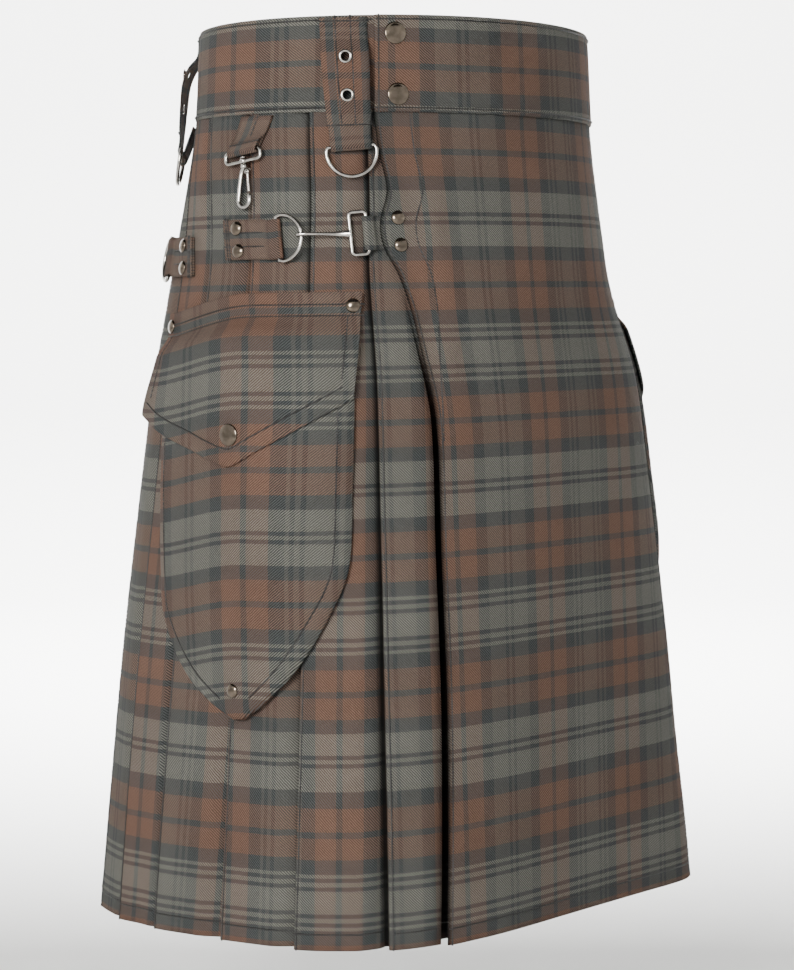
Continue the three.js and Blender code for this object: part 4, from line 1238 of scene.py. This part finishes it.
def makeHipFastening():
    along, down = hip["along"], hip["down"]
    line = foldLine(**hip["strap"])
    stripPiece("hipStrap", line, hip["halfWidth"], lambda x, out, a: place(along + x, down + a, out),
               ["hip_strap"], lambda s, a: (60 + s, 78 + a * 0.9), clothDown)
    for step in (-0.5, 0.5):
        at, level = along - hip["rivetFrom"], down - 1 + step * hip["rivetSpread"]
        rivetSpots.append(axesAt(at, level, float(apronOut(at, level)) + apron["wall"] / 2 + 0.1))
    eyeAxes = axesAt(along + hip["eye"][0], down, hip["strap"]["barOut"])
    apex = apply(hipRingAxes, [[tabs["ring"][1], 0, 0]])[0]
    hookAxes = axesAt(tabs["places"]["hip"][0] - tabs["ring"][1], tabs["places"]["hip"][1], 0)
    hookAxes[:3, 3] = apex
    bar = apply(eyeAxes, [[-hip["eye"][0], 0, 0]])[0]
    end = hookAxes[:3, :3].T @ (bar - apex) / mm
    curl = [(x, 0, z) for x, z in arc(0, 0, hip["curl"], -math.pi * 0.38, -math.pi * 1.5, 22)]
    radii = [hip["thin"] * mix(0.6, 1, min(i / 5, 1)) for i in range(len(curl))]
    for t in np.linspace(0.06, 1, 16):
        curl.append((end[0] * t, end[1] * t, mix(hip["curl"], end[2], smooth(0, 1, t))))
        # a thin wire that swells to a cone at the eye, with a small bead where it starts
        bead = 0.35 * math.exp(-(((t - 0.52) / 0.05) ** 2))
        radii.append(mix(hip["thin"], hip["thick"], smooth(0.5, 0.98, t)) + bead)
    shank = tube(curl, radii, sides=18)
    shank = (apply(hookAxes, shank[0]), shank[1])
    eye = tube(eyePath(*hip["eye"]), wire["radius"], True)
    eye = (apply(eyeAxes, eye[0]), eye[1])
    parts = [(shank[0] / mm, shank[1]), (eye[0] / mm, eye[1])]
    metalPiece("hipHook", parts, np.eye(4), ["hip_hook"], "garment")


makeHipFastening()


# clip: a slanted strap, an eye in its fold, a hook that swivels in it and a sprung gate

clip = {
    "strap": {"length": 23.0, "topOut": 2.7, "underOut": 1.15, "barOut": 4.4, "rise": 11.0},
    "along": 207.5,
    "down": 57.5,
    "slant": 11.5,
    "halfWidth": 11.8,
    "eye": (14.4, 3.5, 2.6),
    "boss": (2.9, 1.6, 1.5),
    "wire": 1.45,
    "pivot": (2.6, -14.5),
}


def bar(radius, fromY, toY, taper=0.25, sides=20):
    # a round bar along y with eased ends
    way = 1 if toY > fromY else -1
    points = [(0, fromY, 0), (0, fromY + way * taper, 0), (0, toY - way * taper, 0), (0, toY, 0)]
    return tube(points, [radius - taper, radius, radius, radius - taper], sides=sides)


def turnedPart(part, x, y):
    # the part laid along z and moved
    verts, faces = part
    return np.stack([verts[:, 0] + x, -verts[:, 2] + y, verts[:, 1]], 1), faces


def makeClip():
    def toPoint(x, out, aside):
        hang = 1 + min(x, 0) / clip["strap"]["length"]
        flat = float(smooth(0.4, 0.8, hang))
        return flatPoint(clip["along"] + clip["slant"] * hang, aside, clip["down"] + x, out, flat)

    line = foldLine(**clip["strap"])
    stripPiece("clipStrap", line, clip["halfWidth"], toPoint, ["clip_strap"],
               lambda s, a: (68 + s, brownMiddle + a - 3), clothUp)
    face = clip["strap"]["topOut"] + strap["wall"] / 2 + stitch["rise"]
    sew([toPoint(x, face, -1.5) for x in np.linspace(-22, -11, 8)])
    rise = mix(clip["strap"]["topOut"], clip["strap"]["barOut"] + foldRadius, 0.75)
    rise += strap["wall"] / 2 + stitch["rise"]
    sew([toPoint(-5, rise, a) for a in np.linspace(-11, 11, 10)])
    axes = axesAt(clip["along"] + clip["slant"], clip["down"], clip["strap"]["barOut"])
    bossY = -2 * clip["eye"][1]
    radius, half, bore = clip["boss"]
    frameWire = tube(eyePath(*clip["eye"]) - [0, clip["eye"][1], 0], wire["radius"], True)
    boss, bossFaces = latheRing([(bore, -half), (radius - 0.3, -half), (radius, -half + 0.3),
                                 (radius, half - 0.3), (radius - 0.3, half), (bore, half)], 24)
    boss = np.stack([boss[:, 0], boss[:, 2] + bossY, boss[:, 1]], 1)
    metalPiece("clipEye", [frameWire, (boss, bossFaces)], axes, ["clip_eye"], "clip_eye")

    foot, head = bossY - half - 0.3, bossY + half + 0.3
    line = [(0, foot - 2), (-2.2, foot - 6), (-4.4, foot - 14), (-6.4, foot - 23.5)]
    line += arc(-1.9, foot - 24.5, 4.5, math.pi, 2 * math.pi, 10)[1:] + [(2.7, foot - 20.5)]
    bow = rounded(line, 0.9)
    radii = np.full(len(bow), clip["wire"])
    radii[-4:] = clip["wire"] * np.array([1.0, 0.96, 0.85, 0.6])
    bow = tube(np.column_stack([bow, np.zeros(len(bow))]), radii, sides=18)
    px, py = clip["pivot"]
    cheek = lathe([(2.0, -2.65), (2.4, -2.5), (2.4, -1.95), (2.0, -1.8)], 20)
    cheek = (cheek[0] * [1.15, 1, 1] + [px - 1.4, py + 0.8, 0], cheek[1])
    parts = [bow, bar(1.15, foot - 2.5, head + 0.6), bar(2.1, head, head + 1.1), bar(2.2, foot - 3, foot),
             cheek, turnedPart(bar(0.8, -2.6, 1.9), px, py)]
    metalPiece("clipHook", parts, axes, ["clip_hook"], "clip_hook")

    rod = rounded([(px, py - 1.2), (2.5, py - 6), (2.7, foot - 19.1)], 0.9)
    rod = np.column_stack([rod, np.zeros(len(rod))])
    barrel, barrelFaces = latheRing([(1.1, -1.35), (1.55, -1.35), (1.75, -1.15),
                                     (1.75, 1.15), (1.55, 1.35), (1.1, 1.35)], 20)
    shell = (barrel + [px, py, 0], barrelFaces)
    metalPiece("clipGate", [tube(rod, 1.05, sides=16), shell], axes, ["clip_gate"], "clip_gate")


makeClip()
print("hip fastening and clip ready")


# pockets: a pouch with a pointed foot under a flap with a pointed edge

pocket = {
    "along": 232.0,
    "lean": 19.0,
    "top": 151.0,
    "height": 284.0,
    "sag": 13.0,
    "back": 1.1,
    "side": 4.6,
    "wall": 1.0,
    "flapWall": 1.7,
    "flat": 16.0,
    "drops": {"front": 70.0, "tip": 116.0, "rear": 69.0, "tipAt": 3.0},
    "seamInset": 9.5,
    "footRivet": (3.0, 264.0),
    "pouch": table(
        ["down", "front", "rear", "depth"],
        [
            [30, 76, 80, 9.4],
            [50, 76, 81, 10.8],
            [80, 76, 82, 12.2],
            [130, 76, 82, 13],
            [180, 75, 80, 12.5],
            [205, 67, 76, 11],
            [245, 45, 52, 8.5],
            [270, 22, 26, 6.6],
            [284, 3, 4, 5],
        ],
    ),
}


headGap = 0.05  # between the cloth and the head of a rivet or a snap


def pocketLevel(side, x, drop):
    # from the pocket's own lengths to the garment's
    along = pocket["along"] + pocket["lean"] * drop / pocket["height"] + x
    down = pocket["top"] + drop + pocket["sag"] * smooth(-10, 85, x)
    return side * along, down


def pocketPlace(side, x, drop, out):
    return place(*pocketLevel(side, x, drop), out)


def pouchSize(name, drop):
    return read(pocket["pouch"], name, drop)


def pouchBack(drop):
    return pocket["back"] + 1.6 * smooth(140, pocket["height"], drop)


def pouchFace(x, drop):
    half = np.where(x < 0, pouchSize("front", drop), pouchSize("rear", drop))
    depth = pouchSize("depth", drop)
    reach = np.minimum(np.abs(x) / half, 1) ** 2.6
    return pouchBack(drop) + mix(depth, np.minimum(pocket["side"], depth), reach)


def pouchWave(x, drop):
    # the filled front is not quite even
    wave = np.sin(x / 19 + 0.6) * np.sin(drop / 31 + x / 60) * 0.55
    return wave * smooth(30, 70, drop) * (1 - smooth(215, 270, drop))


def flapFace(x, drop):
    over = pouchFace(x, np.maximum(drop, 30)) + 0.85
    return mix(0.9, over, smooth(pocket["flat"], 30, drop))


def flapLowest(x):
    drops = pocket["drops"]
    front = x < drops["tipAt"]
    half = np.where(front, 76 + drops["tipAt"], 92 - drops["tipAt"])
    t = np.abs(x - drops["tipAt"]) / half
    t = np.sqrt(t * t + 0.0025) - 0.012
    return mix(drops["tip"], np.where(front, drops["front"], drops["rear"]), t)


def flapWave(x, drop):
    # the free edge stands off in soft waves, most of all at the rear corner
    low = smooth(45, 100, drop)
    wave = low * (np.sin(x / 15 + 0.9) + 0.5 * np.sin(x / 8.0)) * smooth(4, 30, np.abs(x - 2))
    return wave + low * 0.4 + 8.0 * smooth(35, 92, x) * smooth(16, 70, drop)


def pouchPattern(x, drop):
    return np.stack([brownMiddle + (x + 8.2) / 1.1, brownMiddle + drop - 116.3], -1)


def makePouch(side, name):
    wall = pocket["wall"]
    drops = np.concatenate([np.linspace(30, 200, 44), np.linspace(204, 283.5, 30)])
    share = np.linspace(0, 1, 45)
    front, rear = pouchSize("front", drops), pouchSize("rear", drops)
    x = mix(-front[:, None], rear[:, None], share[None, :])
    level = np.broadcast_to(drops[:, None], x.shape)
    out = pouchFace(x, level) - wall / 2 + pouchWave(x, level)
    # a rounded shoulder along both sides, then down to the skirt
    fromSide = np.minimum(x + front[:, None], rear[:, None] - x)
    out = out - 1.1 * np.exp(-np.maximum(fromSide, 0) / 1.2)
    seam = pouchBack(drops)[:, None] + wall * 0.5 + 0.2
    sides = [mix(out[:, :1], seam, t) for t in (1.0, 0.62, 0.3)]
    flanks = [mix(out[:, -1:], seam, t) for t in (0.3, 0.62, 1.0)]
    out = np.concatenate(sides + [out] + flanks, 1)
    bulge = np.array([0.0, 0.5, 0.5])[None, :]
    x = np.concatenate([x[:, :1] - bulge, x, x[:, -1:] + bulge[:, ::-1]], 1)
    level = np.broadcast_to(drops[:, None], x.shape)
    points = pocketPlace(side, x, level, out)
    uvs = pouchPattern(x, level)
    piece = clothSheet("pouch_" + name, points, uvs, wall, clothUp)
    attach(piece, "garment")
    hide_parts("pocket_" + name)

    backX = mix(-front[::3, None], rear[::3, None], share[None, ::3])
    backLevel = np.broadcast_to(drops[::3, None], backX.shape)
    points = pocketPlace(side, backX, backLevel, pouchBack(backLevel) + 0.1)
    uvs = pouchPattern(backX, backLevel)
    piece = clothSheet("pouchBack_" + name, points, uvs, 0.8, clothUp)
    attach(piece, "garment")
    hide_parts("pocket_back_" + name)

    inset = pocket["seamInset"]
    run = np.concatenate([np.linspace(62, 200, 60), np.linspace(202, 268, 40)])
    loose = np.interp(run, [200, 268], [1.0, 1.35])
    half = {-1: -(pouchSize("front", run) - inset * loose), 1: pouchSize("rear", run) - inset * loose}
    for way in (-1, 1):
        keep = half[way] * way > 0.5
        spot, drop = half[way][keep], run[keep]
        sew(pocketPlace(side, spot, drop, pouchFace(spot, drop) + pouchWave(spot, drop) + 0.15))


def makeFlap(side, name):
    wall = pocket["flapWall"]
    share = np.linspace(0, 1, 61)
    foot = mix(-76, 92, share)
    lowest = flapLowest(foot)
    rows = []
    for drop in (0.4, 4, 8, 12, 15, 16, 17, 19, 22, 26, 30):
        rows.append(np.full_like(foot, drop))
    for t in np.linspace(0.05, 1, 24):
        rows.append(mix(30, lowest, t))
    drop = np.array(rows)
    x = mix(mix(-85, 83, share)[None, :], foot[None, :], drop / lowest[None, :])
    groove = 0.7 * np.exp(-(((drop - 16) / 1.1) ** 2))
    edge = 0.5 * np.exp(-np.maximum(lowest[None, :] - drop, 0) / 1.2)
    out = flapFace(x, drop) + wall / 2 + flapWave(x, drop) - groove - edge
    points = pocketPlace(side, x, drop, out)
    uvs = np.stack([brownMiddle + (x + 9.5) / 1.15, drop - 57.5], -1)
    piece = clothSheet("pocketFlap_" + name, points, uvs, wall, clothUp)
    soften = piece.modifiers.new("edge", "BEVEL")
    soften.width, soften.segments, soften.limit_method = 0.0006, 2, "ANGLE"
    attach(piece, "garment")
    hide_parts("pocket_flap_" + name)

    def surface(x, drop):
        x, drop = np.asarray(x, float), np.asarray(drop, float)
        return pocketPlace(side, x, drop, flapFace(x, drop) + wall + flapWave(x, drop) + 0.12)

    across = np.linspace(-84, 82, 90)
    seam = np.full_like(across, pocket["flat"])
    sew(surface(across, np.full_like(across, 8.6)))
    sew(pocketPlace(side, across, seam, flapFace(across, seam) + wall - 0.45))
    inset = pocket["seamInset"]
    fall = np.linspace(17, 56, 24)
    sew(surface(mix(-85, -76, fall / 70) + inset * 0.9, fall))
    sew(surface(mix(83, 92, fall / 69) - inset * 0.9, fall))
    for near in (-76 + inset * 0.9 - 1, 92 - inset * 0.9 + 1):
        run = np.linspace(near, 3, 50)
        sew(surface(run, flapLowest(run) - inset * 1.25))
    for x, drop, kind in ((-78.0, 9.5, rivetSpots), (77.0, 9.5, rivetSpots), (2.0, 93.0, snapSpots)):
        face = float(flapFace(x, drop) + flapWave(x, drop))
        kind.append(axesAt(*pocketLevel(side, x, drop), face + wall + headGap))
    x, drop = pocket["footRivet"]
    rivetSpots.append(axesAt(*pocketLevel(side, x, drop), float(pouchFace(x, drop)) + headGap))


for pocketSide, pocketName in ((1, "right"), (-1, "left")):
    makePouch(pocketSide, pocketName)
    makeFlap(pocketSide, pocketName)
print("pockets ready")


# rivets, snaps and eyelets: one head each, set on its spots

heads = {
    "rivet": [(4.5, 0.0), (4.8, 0.25), (4.8, 0.55), (4.5, 1.0), (3.6, 1.6), (2.3, 2.05), (1.0, 2.25),
              (0.2, 2.3)],
    "snap": [(7.0, 0.0), (7.4, 0.3), (7.45, 0.8), (7.15, 1.25), (6.6, 1.45), (6.2, 1.5), (5.4, 1.85),
             (3.6, 2.3), (1.6, 2.55), (0.2, 2.6)],
    "eyelet": [(2.75, -0.9), (2.75, 0.5), (2.95, 0.9), (3.6, 1.1), (4.2, 0.85), (4.55, 0.45),
               (4.6, 0.1), (3.5, 0.05), (3.1, -0.9)],
}
headSides = 32
for down in (-20.0, 21.0):
    snapSpots.append(axesAt(112.0, down, float(bandOut(0)) + 0.35))


def fastenerTree():
    tree = bpy.data.node_groups.new("fastenerHeads", "GeometryNodeTree")
    addSocket(tree, "Spots", "Geometry")
    addSocket(tree, "Head", "Object")
    addSocket(tree, "Size", "Float", 1.0)
    addSocket(tree, "Seed", "Int", 5)
    addSocket(tree, "Metal", "Material")
    addSocket(tree, "Heads", "Geometry", output=True)
    w = Wiring(tree)
    start, end = tree.nodes.new("NodeGroupInput"), tree.nodes.new("NodeGroupOutput")
    points = w.add("GeometryNodeMeshToPoints", inputs={"Mesh": start.outputs["Spots"]})
    head = w.add("GeometryNodeObjectInfo", inputs={"Object": start.outputs["Head"]})
    turn = w.add("GeometryNodeInputNamedAttribute", data_type="FLOAT_VECTOR", inputs={"Name": "turn"})
    facing = w.add("FunctionNodeEulerToRotation", inputs={0: turn.outputs[0]})
    roll = w.add("FunctionNodeRandomValue", data_type="FLOAT",
                 inputs={2: 0.0, 3: 6.28, "Seed": start.outputs["Seed"]})
    spin = w.add("ShaderNodeCombineXYZ", inputs={2: roll.outputs[1]})
    own = w.add("FunctionNodeEulerToRotation", inputs={0: spin.outputs[0]})
    both = w.add("FunctionNodeRotateRotation", rotation_space="LOCAL")
    w.put(both.inputs[0], facing.outputs[0])
    w.put(both.inputs[1], own.outputs[0])
    rows = w.add("GeometryNodeInstanceOnPoints")
    w.put(rows.inputs["Points"], points.outputs[0])
    w.put(rows.inputs["Instance"], head.outputs["Geometry"])
    w.put(rows.inputs["Rotation"], both.outputs[0])
    w.put(rows.inputs["Scale"], start.outputs["Size"])
    real = w.add("GeometryNodeRealizeInstances", inputs={"Geometry": rows.outputs[0]})
    painted = w.add("GeometryNodeSetMaterial",
                    inputs={"Geometry": real.outputs[0], "Material": start.outputs["Metal"]})
    w.put(end.inputs[0], painted.outputs[0])
    return tree


def makeFasteners():
    tree = fastenerTree()
    nodes = list(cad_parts)
    # piece, head, its spots, the word in the names of the nodes that it stands for, metal
    plans = (
        ("rivets", "rivet", rivetSpots, "rivet", nickelDark),
        ("snaps", "snap", snapSpots, "snap", nickelDark),
        ("eyelets", "eyelet", eyeletSpots, None, nickel),
    )
    for title, kind, spots, word, metal in plans:
        mesh = bpy.data.meshes.new(title + "Spots")
        mesh.from_pydata([tuple(s[:3, 3]) for s in spots], [], [])
        layer = mesh.attributes.new("turn", "FLOAT_VECTOR", "POINT")
        turns = [Matrix([list(row) for row in s]).to_euler() for s in spots]
        layer.data.foreach_set("vector", np.array([list(t) for t in turns], np.float32).ravel())
        verts, faces = (latheRing if kind == "eyelet" else lathe)(heads[kind], headSides)
        head = addMesh(kind + "Head", verts * mm, faces, material=metal)
        turnOutwards(head.data)
        values = {"Head": head, "Size": 1.0, "Seed": 5, "Metal": metal}
        piece = runTree(title, tree, mesh, values)
        bpy.data.objects.remove(head)
        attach(piece, "garment")
        if word:
            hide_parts(*[n for n in nodes if word in n])
        print(title + ":", len(spots))


makeFasteners()
makeStitches()
